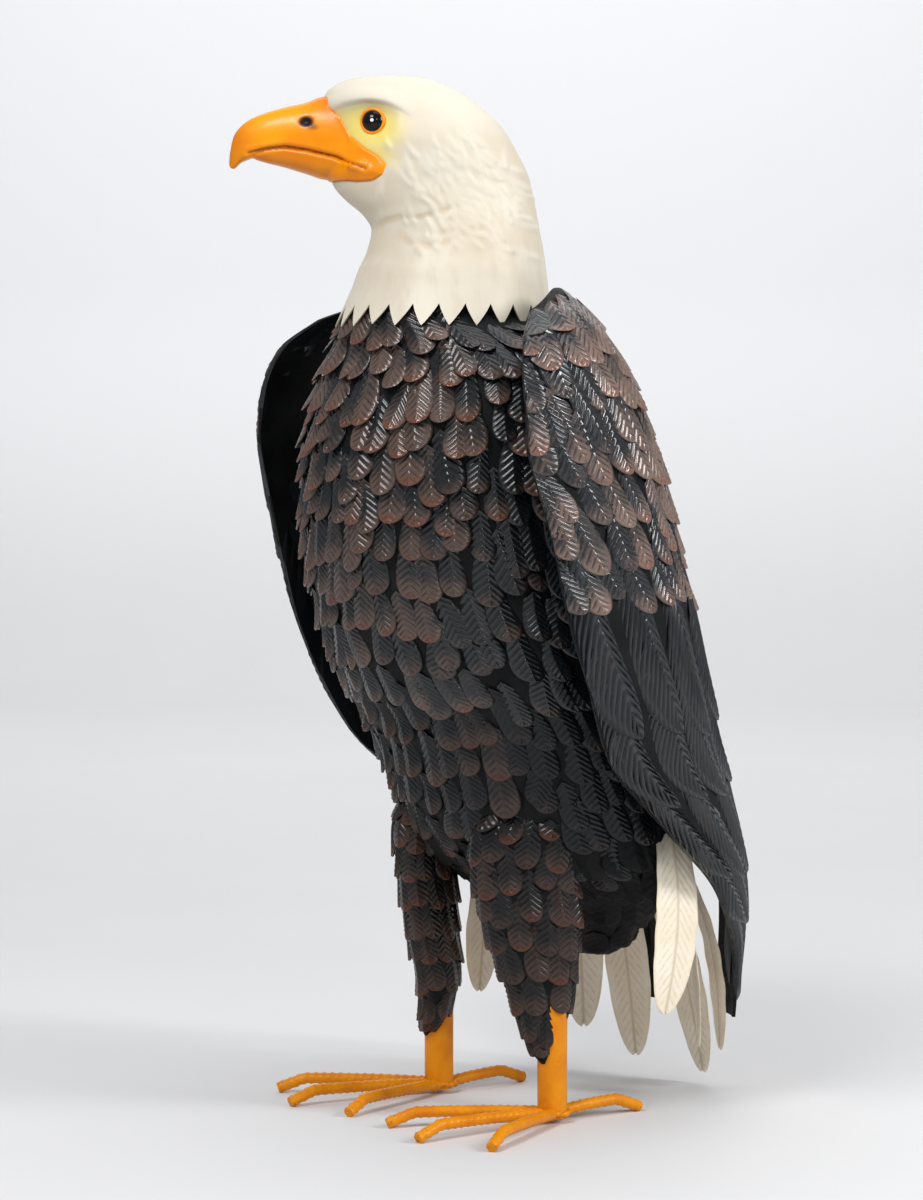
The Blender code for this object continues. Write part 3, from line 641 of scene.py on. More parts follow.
# Layers of flight feathers from the lowest up: front tip, rear tip, stretch, count
FLIGHT_LAYERS = [
    (66, 90, 0.86, 4), (132, 160, 0.9, 5), (186, 205, 0.95, 5), (284, 262, 1.0, 6), (330, 326, 1.0, 6),
]
WING_ROWS = 56
WING_COLUMNS = 32
WING_TOP_GAP = 0.6
WIDTH_POINTS = 24


def keep_on_wing(heights, places):
    """Hold a feather's points between the wing's edges and below its top."""
    places = np.clip(places, 0.0, 1.0)
    return np.minimum(heights, wing_top(places) - WING_TOP_GAP), places


def wing_width(surface, height):
    """Length of the wing's skin from its front edge to its rear edge at one height."""
    skin = surface(np.full(WIDTH_POINTS, height), spread(0, 1, WIDTH_POINTS), 0.0)
    return np.linalg.norm(np.diff(skin, axis=0), axis=1).sum()


def wing_shell(side, word, material):
    piece = Piece()
    surface = wing_surface(side)
    shares = spread(0, 1, WING_COLUMNS)
    top = wing_top(shares)
    levels = [top + (WING_BOTTOM - top) * share for share in spread(0, 1, WING_ROWS)]
    skins = [surface(level, shares, lift) for lift in (0.0, -WING_PLATE) for level in levels]
    paint = np.repeat([SHELL_PAINT, INNER_PAINT], WING_ROWS * WING_COLUMNS, axis=0)
    piece.add(skins, plate_faces(WING_ROWS, WING_COLUMNS), paint)
    piece.build("wing_shell_" + word, material, "wing_feathers", ("wing_" + word,), sharp=50)


def wing_flight(side, word, material):
    """The long ribbed feathers, in layers that lie ever further out."""
    surface = wing_surface(side)
    piece = Piece()
    for layer, (front_tip, rear_tip, reach, count) in enumerate(FLIGHT_LAYERS):
        for step in range(count):
            share = (step + 0.5) / count
            tip = front_tip + (rear_tip - front_tip) * (1 - share) + RANDOM.normal(0, 3)
            width = wing_width(surface, tip + FLIGHT_MIDDLE) / count
            scale = np.clip(width * FLIGHT_OVERLAP / (2 * FLIGHT_LEAF.half), *FLIGHT_FIT)
            FLIGHT_LEAF.lay(
                piece, surface, tip, share, scale=scale, stretch=reach / scale,
                tilt=-0.1 + RANDOM.normal(0, 0.02), root_lift=-1.0, tip_lift=-0.8 + 0.8 * layer, twist=1.2,
                limit=keep_on_wing)
    piece.build("wing_flight_" + word, material, "wing_feathers")


def wing_coverts(side, word, material):
    """The short leaves on the upper wing, in rows that follow its arched top."""
    surface = wing_surface(side)
    piece = Piece()
    for row in range(COVERT_ROWS):
        level = COVERT_TOP - row * COVERT_PITCH
        count = int(wing_width(surface, min(level, COVERT_WIDEST)) / COVERT_WIDTH)
        for step in range(count + row % 2):
            share = np.clip((step + 0.5 - 0.5 * (row % 2)) / count, *COVERT_ENDS)
            top = float(wing_top(share))
            follow = max(0.0, 1 - (WING_TOP - level) / COVERT_ARCH_RUN)
            tip = level + follow * (top - WING_TOP) * COVERT_ARCH + RANDOM.normal(0, 6)
            fitting(COVERT_LEAVES, top - tip + 3).lay(
                piece, surface, tip, share + RANDOM.normal(0, 0.01), scale=RANDOM.uniform(0.85, 1.06),
                tilt=COVERT_TILT + RANDOM.normal(0, 0.1), root_lift=-1.2,
                tip_lift=RANDOM.uniform(0.6, 3.4), twist=RANDOM.normal(0.5, 0.6), limit=keep_on_wing,
                tone=0.2 + 0.5 * float(smooth_step(0.08, 0.55, share)))
    piece.build("wing_coverts_" + word, material, "wing_feathers")


# Head
def to_world(side, forward, height):
    turn = radians(HEAD_TURN)
    x = cos(turn) * side - sin(turn) * forward
    y = -sin(turn) * side - cos(turn) * forward + NECK_CENTRE
    return points_at(x, y, height)


def path_distance(forward, height, path):
    """Signed distance to a line of points, and how far along it the foot lies."""
    best = np.full(np.shape(forward), 1e9)
    signed = np.zeros(np.shape(forward))
    along = np.zeros(np.shape(forward))
    for index, ((f0, h0), (f1, h1)) in enumerate(zip(path, path[1:])):
        df, dh = f1 - f0, h1 - h0
        share = np.clip(((forward - f0) * df + (height - h0) * dh) / (df * df + dh * dh), 0, 1)
        gap_f, gap_h = forward - f0 - share * df, height - h0 - share * dh
        distance = np.hypot(gap_f, gap_h)
        closer = distance < best
        best = np.where(closer, distance, best)
        signed = np.where(closer, np.sign(df * gap_h - dh * gap_f) * distance, signed)
        along = np.where(closer, (index + share) / (len(path) - 1), along)
    return signed, along


# Lines on the side of the head, as places along its axis and heights
MOUTH_LINE = [(161, 801), (145, 804.5), (130, 806), (112, 803), (88, 797), (73, 790), (63, 786)]
ORANGE_EDGE = [(104, 852), (96, 845), (93, 837), (85, 828), (77, 813), (64, 802), (54, 796), (47.5, 789),
               (50, 781), (58, 776.5), (70, 776), (84, 777.5), (100, 777)]
BROW_LINE = Table([
    (10, 819), (24, 828), (36, 835), (50, 840), (63, 841.5), (77, 839.5), (91, 835), (104, 830),
])
BROW_SPAN = (24.0, 99.0)
BROW_OUT = 3.9
BROW_RISE = 3.2
BROW_BELOW = 5.2
BROW_ABOVE = 11.0
SOCKET_REACH = 23.0
SOCKET_DEPTH = 5.4


def inside_orange(forward, height):
    """How deep a point lies inside the painted beak, in millimetres; negative outside."""
    return path_distance(forward, height, ORANGE_EDGE)[0]


def brow_strength(forward):
    along = np.clip((forward - BROW_SPAN[0]) / (BROW_SPAN[1] - BROW_SPAN[0]), 0, 1)
    return np.sin(pi * along) ** 0.8


def head_relief(forward, height):
    """How far the head's skin is carved out or raised, in millimetres."""
    above = height - BROW_LINE.read(forward)[0] - BROW_RISE
    drop = np.where(above < 0, above / BROW_BELOW, above / BROW_ABOVE)
    brow = brow_strength(forward) * np.clip(1 - drop ** 2, 0, 1) ** 1.3 * BROW_OUT
    eye_gap = np.hypot(forward - EYE_FORWARD, height - EYE_HEIGHT)
    socket = np.clip(1 - (eye_gap / SOCKET_REACH) ** 2, 0, 1) ** 2 * SOCKET_DEPTH
    depth = inside_orange(forward, height)
    covered = smooth_step(-1.0, 2.0, depth) * 3.2 + smooth_step(2.0, 8.0, depth) * 4.0
    return brow - socket - covered


TUFTS = 150
TUFT_CENTRE = (-16.0, 764.0)
TUFT_SPREAD = (30.0, 26.0)
TUFT_TURN = radians(228)
TUFT_DEPTH = 1.45
TUFT_BASE = 0.25


def tuft_places():
    """Where each sculpted tuft lies, which way it points and how long it is."""
    forward = TUFT_CENTRE[0] + RANDOM.normal(0, 1, TUFTS) * TUFT_SPREAD[0]
    height = TUFT_CENTRE[1] + RANDOM.normal(0, 1, TUFTS) * TUFT_SPREAD[1]
    turn = TUFT_TURN + RANDOM.normal(0, 0.28, TUFTS) + (forward - TUFT_CENTRE[0]) * 0.006
    return np.stack([forward, height, turn, RANDOM.uniform(8, 14, TUFTS)], -1)


TUFT_TABLE = tuft_places()


def tuft_relief(forward, height):
    """Sculpted tufts behind the cheek, each a short curved lock with a steep end."""
    total = np.zeros(np.shape(forward))
    for place, level, turn, length in TUFT_TABLE:
        gap_f, gap_h = forward - place, height - level
        along = (gap_f * cos(turn) + gap_h * sin(turn)) / length
        cross = (gap_h * cos(turn) - gap_f * sin(turn) + 1.6 * along ** 2) / (length * 0.2)
        total = np.maximum(total, bell(cross) * np.where(along < 0, bell(along / 0.9), bell(along / 0.3)))
    return (total - TUFT_BASE) * TUFT_DEPTH * smooth_step(838, 806, height) * smooth_step(700, 722, height)


# Throat folds: their line, depth and width
THROAT_FOLDS = [
    ([(55, 739), (46, 744), (36, 746), (20, 745), (2, 750), (-20, 755)], 0.75, 2.6),
    ([(36, 732), (28, 726), (14, 722), (-4, 725), (-24, 735), (-38, 739)], 0.55, 3.0),
    ([(18, 735), (4, 731), (-10, 734), (-26, 743)], 0.4, 2.4),
]


def fold_relief(forward, height):
    total = np.zeros(np.shape(forward))
    for path, depth, width in THROAT_FOLDS:
        signed, along = path_distance(forward, height, path)
        ends = np.clip(np.sin(pi * np.clip(along, 0.02, 0.98)) * 2, 0, 1)
        step = bell(signed / width) * depth
        bulge = bell((np.abs(signed) - width * 2) / (width * 1.6)) * depth * 0.35
        total += (bulge - step) * ends
    return total


def head_paint(forward, height, relief):
    """Orange beak, yellow round the eye, painted shadow under the brow, and a beige wash in the hollows that
    also paints shade into the throat folds.
    """
    depth = inside_orange(forward, height)
    orange = smooth_step(-0.9, 0.9, depth)
    above = height - BROW_LINE.read(forward)[0]
    below_brow = smooth_step(2, -5, above)
    eye_gap = np.hypot((forward - EYE_FORWARD - 5) * 0.85, height - EYE_HEIGHT + 4)
    yellow = smooth_step(35, 9, eye_gap) * below_brow
    lore = smooth_step(20, 0, -depth) * smooth_step(782, 800, height) * below_brow
    yellow = np.maximum(yellow, lore * 0.9)
    # Painted shadow under the brow
    shadow = bell((above + 2.6) / 5.6) * brow_strength(forward) ** 1.8 * smooth_step(104, 80, forward)
    # Beige wash in the carved recesses, which in the throat folds is also painted shade
    wash_and_fold_shade = np.clip(0.5 - relief * 0.5, 0, 1)
    return np.stack([orange, yellow, shadow, wash_and_fold_shade], -1)


COLLAR_TEETH = 25
COLLAR_NOTCH_HEIGHT = 675.0
COLLAR_TIP_HEIGHT = 657.6
COLLAR_JITTER = 1.6
COLLAR_ROWS = 16
COLLAR_FLARE = 10.5
COLLAR_FLARE_RUN = 33.0
HEAD_ROWS = 136
HEAD_START = 700.0
HEAD_RISE = 165.8
CROWN = (864.0, 856.0)
POINTS_PER_TOOTH = 10
# The collar's inside: height above the hem, inset from the ring outside it
HEM_RINGS = ((0.0, 1.4), (14.0, 9.0))


def collar_hem():
    """Height of the collar's edge at each column, one slightly uneven tooth after the other."""
    columns = COLLAR_TEETH * POINTS_PER_TOOTH
    tooth = np.arange(columns) % POINTS_PER_TOOTH / POINTS_PER_TOOTH
    jitter = np.repeat(RANDOM.uniform(-COLLAR_JITTER, COLLAR_JITTER, COLLAR_TEETH), POINTS_PER_TOOTH)
    sharpness = 1 - np.abs(tooth * 2 - 1)
    hem = COLLAR_NOTCH_HEIGHT + (COLLAR_TIP_HEIGHT - COLLAR_NOTCH_HEIGHT) * sharpness ** 0.85
    return np.maximum(hem + jitter * sharpness, COLLAR_TIP_HEIGHT - 0.4)


def head_ring(height, angles):
    """One ring of the head's skin, with its relief, and its paint."""
    base = HEAD_SECTIONS[0][0]
    back, front, half_width = HEAD.read(np.maximum(height, base))
    flare = np.clip((base - height) / COLLAR_FLARE_RUN, 0, 1)
    flare_out = COLLAR_FLARE * flare
    centre, half_length = (front + back) / 2 * (1 - flare), (front - back) / 2
    forward = centre + (half_length + flare_out - flare * 1.5) * np.cos(angles)
    side = (half_width + flare_out) * np.sin(angles)
    slope = np.stack([side / half_width ** 2, (forward - centre) / half_length ** 2], -1)
    slope = unit(slope, least=1e-9)
    fine = tuft_relief(forward, height) + fold_relief(forward, height)
    carved = (head_relief(forward, height) + fine) * smooth_step(*CROWN, height)
    placed = to_world(side + slope[:, 0] * carved, forward + slope[:, 1] * carved, height)
    return placed, head_paint(forward, height, fine)


def head_skin(material):
    """The head, neck and collar; the collar is turned in at its hem."""
    hem = collar_hem()
    angles = full_turn(len(hem))
    levels = [hem + (HEAD_START - hem) * share for share in spread(0, 1, COLLAR_ROWS)]
    levels += [np.full(len(hem), HEAD_START + HEAD_RISE * sin(share * pi / 2))
               for share in spread(0, 1, HEAD_ROWS)[1:]]
    rings, paints = map(list, zip(*[head_ring(level, angles) for level in levels]))
    neck = np.array([0, NECK_CENTRE])
    for height_gain, inset in HEM_RINGS:
        inner = rings[0].copy()
        gap = inner[:, :2] - neck
        reach = np.linalg.norm(gap, axis=1)[:, None]
        inner[:, :2] = neck + gap * ((reach - inset) / reach)
        inner[:, 2] = hem + height_gain
        rings.insert(0, inner)
        # The turned-in hem is painted with full shadow and wash, as painted shade
        paints.insert(0, np.tile(HEM_SHADE_PAINT, (len(hem), 1)))
    piece = Piece()
    piece.add_tube(rings, paints)
    piece.build("head_skin", material, "ivory_enamel", ("head",), sharp=50)


# Beak
BEAK_TIP_ROUND = 5.0
BEAK_TIP_SHARE = 0.25
BEAK_SQUARENESS = 0.8
BEAK_STATIONS = 70
BEAK_COLUMNS = 48
# Each half of the beak: sections, where its widest line lies, how blunt its underside is
BEAK_HALVES = ((UPPER_BEAK, 0.3, 0.4), (LOWER_BEAK, 0.5, 1.0))
FACE_BACK = 34.0
FACE_SKIN = 1.3
FACE_AXIS = 12.0
FACE_LEVELS = (764.0, 858.0)
FACE_POINTS = 60
MOUTH_CORNER = (36.5, 63.0, 788.0)
MOUTH_CORNER_SIZE = (9.0, 15.0, 8.5)
MELT_VOXEL = 1.3
MELT_PASSES = 6
NOSTRIL = (113.0, 826.0)
NOSTRIL_STREAK = (106.0, 821.0)


def beak_rings(rows, middle_share, underside):
    table = Table(rows)
    first, last = rows[0][0], rows[-1][0]
    stations = first + (last - first) * np.sin(spread(0, pi / 2, BEAK_STATIONS))
    angles = (np.arange(BEAK_COLUMNS) + 0.5) * 2 * pi / BEAK_COLUMNS
    sine, cosine = np.sin(angles), np.cos(angles)
    across = np.sign(cosine) * np.abs(cosine) ** BEAK_SQUARENESS
    rings = []
    for forward in stations:
        top, bottom, half_width = table.read(forward)
        past = max(0.0, (forward - last + BEAK_TIP_ROUND) / BEAK_TIP_ROUND)
        shrink = (1 - past ** 2) ** 0.5 + 0.02
        heart = bottom + (top - bottom) * BEAK_TIP_SHARE
        top = heart + (top - heart) * shrink
        bottom = heart + (bottom - heart) * shrink
        middle = bottom + (top - bottom) * middle_share
        up = middle + (top - middle) * np.clip(sine, 0, 1)
        down = (middle - bottom) * np.clip(-sine, 0, 1) ** underside
        rings.append(np.stack([across * half_width * shrink, np.full(BEAK_COLUMNS, forward), up - down], -1))
    return rings


def face_rings():
    """A slab that follows the front of the face, which the beak grows out of."""
    rings = []
    for height in spread(*FACE_LEVELS, FACE_POINTS):
        back, front, half_width = HEAD.read(height)
        centre, half_length = (front + back) / 2, (front - back) / 2 + FACE_SKIN
        limit = np.arccos(np.clip((FACE_BACK - centre) / half_length, -1, 1))
        turns = spread(-limit, limit, FACE_POINTS)
        side = (half_width + FACE_SKIN) * np.sin(turns)
        rings.append(points_at(side, centre + half_length * np.cos(turns), height))
    return rings


def melted_beak():
    """Points, normals and faces of the beak's parts, melted into one skin."""
    work = bmesh.new()
    for rings in [beak_rings(*half) for half in BEAK_HALVES] + [face_rings()]:
        mesh = bpy.data.meshes.new("beak_part")
        mesh.from_pydata(np.concatenate(rings).tolist(), [], tube_faces(len(rings), len(rings[0])))
        work.from_mesh(mesh)
        bpy.data.meshes.remove(mesh)
    for side, _ in SIDES:
        place = Vector((side * MOUTH_CORNER[0], *MOUTH_CORNER[1:]))
        ball = bmesh.ops.create_uvsphere(work, u_segments=32, v_segments=20, radius=1.0)
        for vertex in ball["verts"]:
            vertex.co = vertex.co * Vector(MOUTH_CORNER_SIZE) + place
    mesh = bpy.data.meshes.new("beak_form")
    work.to_mesh(mesh)
    work.free()
    form = bpy.data.objects.new("beak_form", mesh)
    bpy.context.scene.collection.objects.link(form)
    remesh = form.modifiers.new("Melt", "REMESH")
    remesh.mode = "VOXEL"
    remesh.voxel_size = MELT_VOXEL
    smooth = form.modifiers.new("Soften", "SMOOTH")
    smooth.iterations = MELT_PASSES
    smooth.factor = 0.5
    graph = bpy.context.evaluated_depsgraph_get()
    final = bpy.data.meshes.new_from_object(form.evaluated_get(graph))
    points, normals = np.zeros(len(final.vertices) * 3), np.zeros(len(final.vertices) * 3)
    final.vertices.foreach_get("co", points)
    final.vertices.foreach_get("normal", normals)
    faces = [tuple(face.vertices) for face in final.polygons]
    bpy.data.objects.remove(form)
    bpy.data.meshes.remove(mesh)
    bpy.data.meshes.remove(final)
    return points.reshape(-1, 3), normals.reshape(-1, 3), faces


def beak(material):
    """Both halves of the beak and the fleshy corners of the mouth, carved and painted."""
    points, normals, faces = melted_beak()
    side, forward, height = points.T

    def spot(place, length, rise):
        return np.exp(-((forward - place[0]) / length) ** 2 - ((height - place[1]) / rise) ** 2)

    mouth, _ = path_distance(forward, height, MOUTH_LINE)
    sideways = np.clip(np.abs(normals[:, 0]) * 1.6, 0, 1)
    near = smooth_step(52, 60, forward) * sideways
    lips = bell((mouth - 3.4) / 2.0) + 0.8 * bell((mouth + 3.2) / 2.0)
    carve = lips * 0.9 * near - bell(mouth / 0.9) * 1.3 * near - spot(NOSTRIL, 4.4, 3.2) * 2.4 * sideways
    depth = inside_orange(forward, height)
    sunk = smooth_step(0.6, -1.2, depth) * 3.0 + smooth_step(-2, -8, depth) * 7.0
    sunk = np.where(forward < 112, sunk, 0.0)[:, None]
    radial = unit(np.stack([side, forward - FACE_AXIS, 0 * side], -1), least=1e-9)
    ahead = smooth_step(50, 70, forward)[:, None]
    points = points + normals * carve[:, None] - (radial + (normals - radial) * ahead) * sunk
    dark = (spot(NOSTRIL, 5.8, 4.4) + spot(NOSTRIL_STREAK, 5.0, 3.0) * 0.3) * sideways
    cere = smooth_step(122, 86, forward) * smooth_step(810, 842, height)
    # Darker towards the tip, and painted shade on the lower jaw below the mouth line
    tip = np.maximum(smooth_step(150, 178, forward), smooth_step(0.5, 6, mouth) * 0.8)
    piece = Piece()
    piece.add(to_world(*points.T), faces, np.stack([bell(mouth) * near, dark * 1.6, cere, tip], -1))
    piece.build("beak", material, "orange_enamel", sharp=70)


# Eyes
def eye_points(side, out, across, turn):
    """Points of the tilted eye, and how far each lies ahead of the eye's centre and above it."""
    sideways = out * cos(EYE_TILT) - across * np.cos(turn) * sin(EYE_TILT)
    forward = out * sin(EYE_TILT) + across * np.cos(turn) * cos(EYE_TILT)
    up = across * np.sin(turn)
    placed = to_world(side * (EYE_SIDE + sideways), EYE_FORWARD + forward, EYE_HEIGHT + up)
    return placed, forward, up


def eye(side, word, glass, ring_material):
    """A glossy dome with its painted pupil and a painted highlight, and the raised orange ring round it."""
    dome = Piece()
    polar = spread(0, EYE_SPAN, EYE_ROWS)[:, None]
    out, across = np.cos(polar) * EYE_RADIUS, np.sin(polar) * EYE_RADIUS
    rings, forward, up = eye_points(side, out, across, full_turn(EYE_COLUMNS))
    ahead = forward - EYE_RING_OUT * sin(EYE_TILT)
    reach = np.hypot(ahead, up) / EYE_RADIUS
    glint = np.hypot(ahead - EYE_GLINT_SHIFT, up - EYE_GLINT_SHIFT) / EYE_RADIUS
    dome.add_tube(rings, paint_of(reach, glint, 0.5, 0.5))
    dome.build("eye_dome_" + word, glass, "eye_gloss", ("eye_" + word,), sharp=60)
    ring = Piece()
    corners = full_turn(EYE_RING_SIDES)
    out = EYE_RING_OUT + EYE_RING_TUBE * np.sin(corners)
    across = EYE_RING_REACH + EYE_RING_TUBE * np.cos(corners)
    rings, _, _ = eye_points(side, out, across, full_turn(EYE_RING_STEPS)[:, None])
    ring.add(rings, loop_faces(EYE_RING_STEPS, EYE_RING_SIDES), EYE_RING_PAINT)
    ring.build("eye_ring_" + word, ring_material, "orange_enamel", sharp=80)


# Tail
TAIL_RIDGE = (0.2, 0.7, 0.2)
TAIL_RIM = 0.25
TAIL_RELIEF_SHARE = 0.7
TAIL_RELIEF_ROOM = 0.2


def tail_blade(name, root, tip, turn, bow, material):
    """A loose enamelled blade with a thin midrib, faint veins and a wavy rim."""
    root, tip = np.array(root, float), np.array(tip, float)
    length = np.linalg.norm(tip - root)
    along = (tip - root) / length
    outward = np.array([sin(radians(turn)), cos(radians(turn)), 0.0])
    across = unit(np.cross(along, outward))
    face = np.cross(across, along)
    leaf = Leaf(length, TAIL_WIDTH, 9.0, 1.3, 0.4, 0.0, root=0.5, wide=0.6, bow=0.012, edge=0.0)
    share = np.clip(leaf.y / length, -0.06, 1)
    bulge = bow * np.sin(pi * np.clip(share, 0, 1))
    centre = root + share[..., None] * (tip - root) + face * bulge[..., None]
    ridge = np.zeros(leaf.columns)
    middle = leaf.columns // 2
    ridge[middle - 1:middle + 2] = TAIL_RIDGE
    edge = np.clip(np.abs(leaf.x) / leaf.half, 0, 1)
    wave = 0.5 * np.sin(share * 43 + leaf.half) * edge ** 4
    relief = leaf.z * TAIL_RELIEF_SHARE + ridge * TAIL_RELIEF_SHARE + wave
    flat = centre + across * leaf.x[..., None] + face * relief[..., None]
    half = np.full(leaf.columns, TAIL_THICKNESS / 2 - TAIL_RELIEF_ROOM)
    half[[0, -1]] = TAIL_RIM
    sheet = face * half[:, None]
    paint = paint_of(leaf.relief, share, RANDOM.random(), edge)
    piece = Piece()
    piece.add([flat + sheet, flat - sheet], plate_faces(leaf.rows, leaf.columns), [paint, paint])
    piece.build(name + "_blade", material, "tail_enamel", (name,), sharp=60)


# Legs and toes
TOE_RADIUS = 5.0
TOE_LEVEL = 8.7
TOE_ARCH = 3.6
TOE_DROP_ANGLE = 20.0
TOE_BEND_RUN = 26.0
TOE_GROUND_FLAT = 1.0
TOE_SIDES = 16
TOE_LOWEST = 0.05
# Toes: length, angle of the root on the tube, angle of the bar, in degrees from straight ahead
TOES = {
    "inner": (127.5, -46.0, -26.7),
    "middle": (131.5, 0.0, 0.0),
    "outer": (127.5, 46.0, 26.7),
    "back": (77.5, 180.0, 173.0),
}
FOOT_SPLAY = radians(5.4)
RIB_PITCH = 7.0
RIB_SLANT = 2.2
RIB_DEPTH = 0.6
CORE_INSET = 0.4
END_SHRINK = 0.08


def toe_line(side, kind):
    """Points along the centre of a toe bar, at every millimetre, in the working frame."""
    length, root_angle, bar_angle = TOES[kind]
    root = np.array([sin(radians(root_angle)), cos(radians(root_angle))]) * (LEG_RADIUS + 0.3)
    heading = np.array([sin(radians(bar_angle)), cos(radians(bar_angle))])
    slope = radians(TOE_DROP_ANGLE)
    tip_height = TOE_RADIUS * cos(slope) - TOE_GROUND_FLAT
    bend, half_drop = length - TOE_BEND_RUN, TOE_BEND_RUN / 2
    stations = [(0, TOE_LEVEL), (bend / 2, TOE_LEVEL + TOE_ARCH * 0.7), (bend, TOE_LEVEL + TOE_ARCH),
                (bend + half_drop, tip_height + half_drop * tan(slope)), (length, tip_height)]
    runs = np.arange(0, length + 0.5, 1.0)
    flat = root + heading * runs[:, None]
    x = flat[:, 0] * cos(FOOT_SPLAY) + flat[:, 1] * sin(FOOT_SPLAY)
    y = -flat[:, 1] * cos(FOOT_SPLAY) + flat[:, 0] * sin(FOOT_SPLAY)
    return np.stack([side * (LEG_X + x), y, Table(stations).read(runs)[0]], -1), runs


def toe(side, word, kind, material):
    """A ribbed steel bar: two rows of slanted ribs and a seam along each side."""
    line, runs = toe_line(side, kind)
    along = unit(np.gradient(line, axis=0))
    sideways = unit(np.cross([0.0, 0.0, 1.0], along))
    upward = np.cross(along, sideways)
    turns = full_turn(TOE_SIDES)
    sine, cosine = np.sin(turns), np.cos(turns)
    on_top = sine > 0
    half_turn = np.where(on_top, turns, 2 * pi - turns)
    seam = np.clip(1 - np.abs(sine) * 3.2, 0, 1)
    shift = RANDOM.uniform(0, RIB_PITCH)
    rings, paints = [], []
    for index, centre in enumerate(line):
        phase = runs[index] + shift + half_turn * RIB_SLANT + np.where(on_top, 0, RIB_PITCH / 2)
        rib = np.clip(np.cos(2 * pi * phase / RIB_PITCH) * 1.3 - 0.3, 0, 1)
        rib = rib * np.clip(np.abs(sine) * 2.2, 0, 1)
        radius = TOE_RADIUS - CORE_INSET + RIB_DEPTH * np.maximum(rib, seam * 0.7)
        if index in (0, len(line) - 1):
            radius = radius * (1 - END_SHRINK)
        spokes = sideways[index] * cosine[:, None] + upward[index] * sine[:, None]
        ring = centre + spokes * radius[:, None]
        ring[:, 2] = np.maximum(ring[:, 2], TOE_LOWEST)
        rings.append(ring)
        paints.append(paint_of(np.maximum(rib, seam), runs[index] / runs[-1], 0.5, 0.0))
    piece = Piece()
    piece.add_tube(rings, paints)
    name = "toe_" + word + "_" + kind
    piece.build(name + "_bar", material, "orange_enamel", (name,), sharp=60)


LEG_COLUMNS = 36
LEG_CHAMFER = 0.6
LEG_WAVE = 0.05
WELD_STEPS = 120
WELD_SIDES = 14
WELD_SIZE = 2.0
WELD_LEVEL = 8.2
WELD_SWELL = 1.1
WELD_SWELL_SPAN = 0.32


def leg_tube(side, word, material):
    piece = Piece()
    angles = full_turn(LEG_COLUMNS)
    levels = np.concatenate([[LEG_FOOT, LEG_FOOT + LEG_CHAMFER], spread(LEG_FOOT + 3, LEG_TOP, 50)])
    rings = []
    for level in levels:
        chamfer = LEG_CHAMFER if level == LEG_FOOT else 0.0
        radius = LEG_RADIUS - chamfer - LEG_WAVE + LEG_WAVE * np.sin(3 * angles + level * 0.05)
        rings.append(points_at(side * LEG_X + radius * np.cos(angles), radius * np.sin(angles), level))
    piece.add_tube(rings, LEG_PAINT)
    piece.build("leg_tube_" + word, material, "orange_enamel", ("leg_" + word,), sharp=60)


def weld(side, word, material):
    """The lumpy bead round the leg tube, thicker where each toe bar meets it."""
    turns = full_turn(WELD_SIDES)
    rings = []
    for angle in full_turn(WELD_STEPS):
        swell = 1.0
        for _, root_angle, _ in TOES.values():
            gap = (angle - radians(90 - root_angle) + FOOT_SPLAY + pi) % (2 * pi) - pi
            swell += WELD_SWELL * bell(gap / WELD_SWELL_SPAN)
        rough = 1 + 0.16 * sin(angle * 9 + 1.3 * sin(angle * 4)) + 0.1 * sin(angle * 23)
        lump = WELD_SIZE * swell * rough
        reach = LEG_RADIUS + 0.2 + lump * 0.35
        level = WELD_LEVEL + 0.5 * sin(angle * 5)
        centre = np.array([side * (LEG_X + reach * cos(angle)), -reach * sin(angle), level])
        out = np.array([side * cos(angle), -sin(angle), 0.0])
        up = np.array([0.0, 0.0, 1.0])
        rings.append(centre + (out * np.cos(turns)[:, None] + up * np.sin(turns)[:, None]) * lump)
    piece = Piece()
    piece.add(rings, loop_faces(WELD_STEPS, WELD_SIDES), WELD_PAINT)
    piece.build("weld_" + word, material, "orange_enamel", sharp=80)


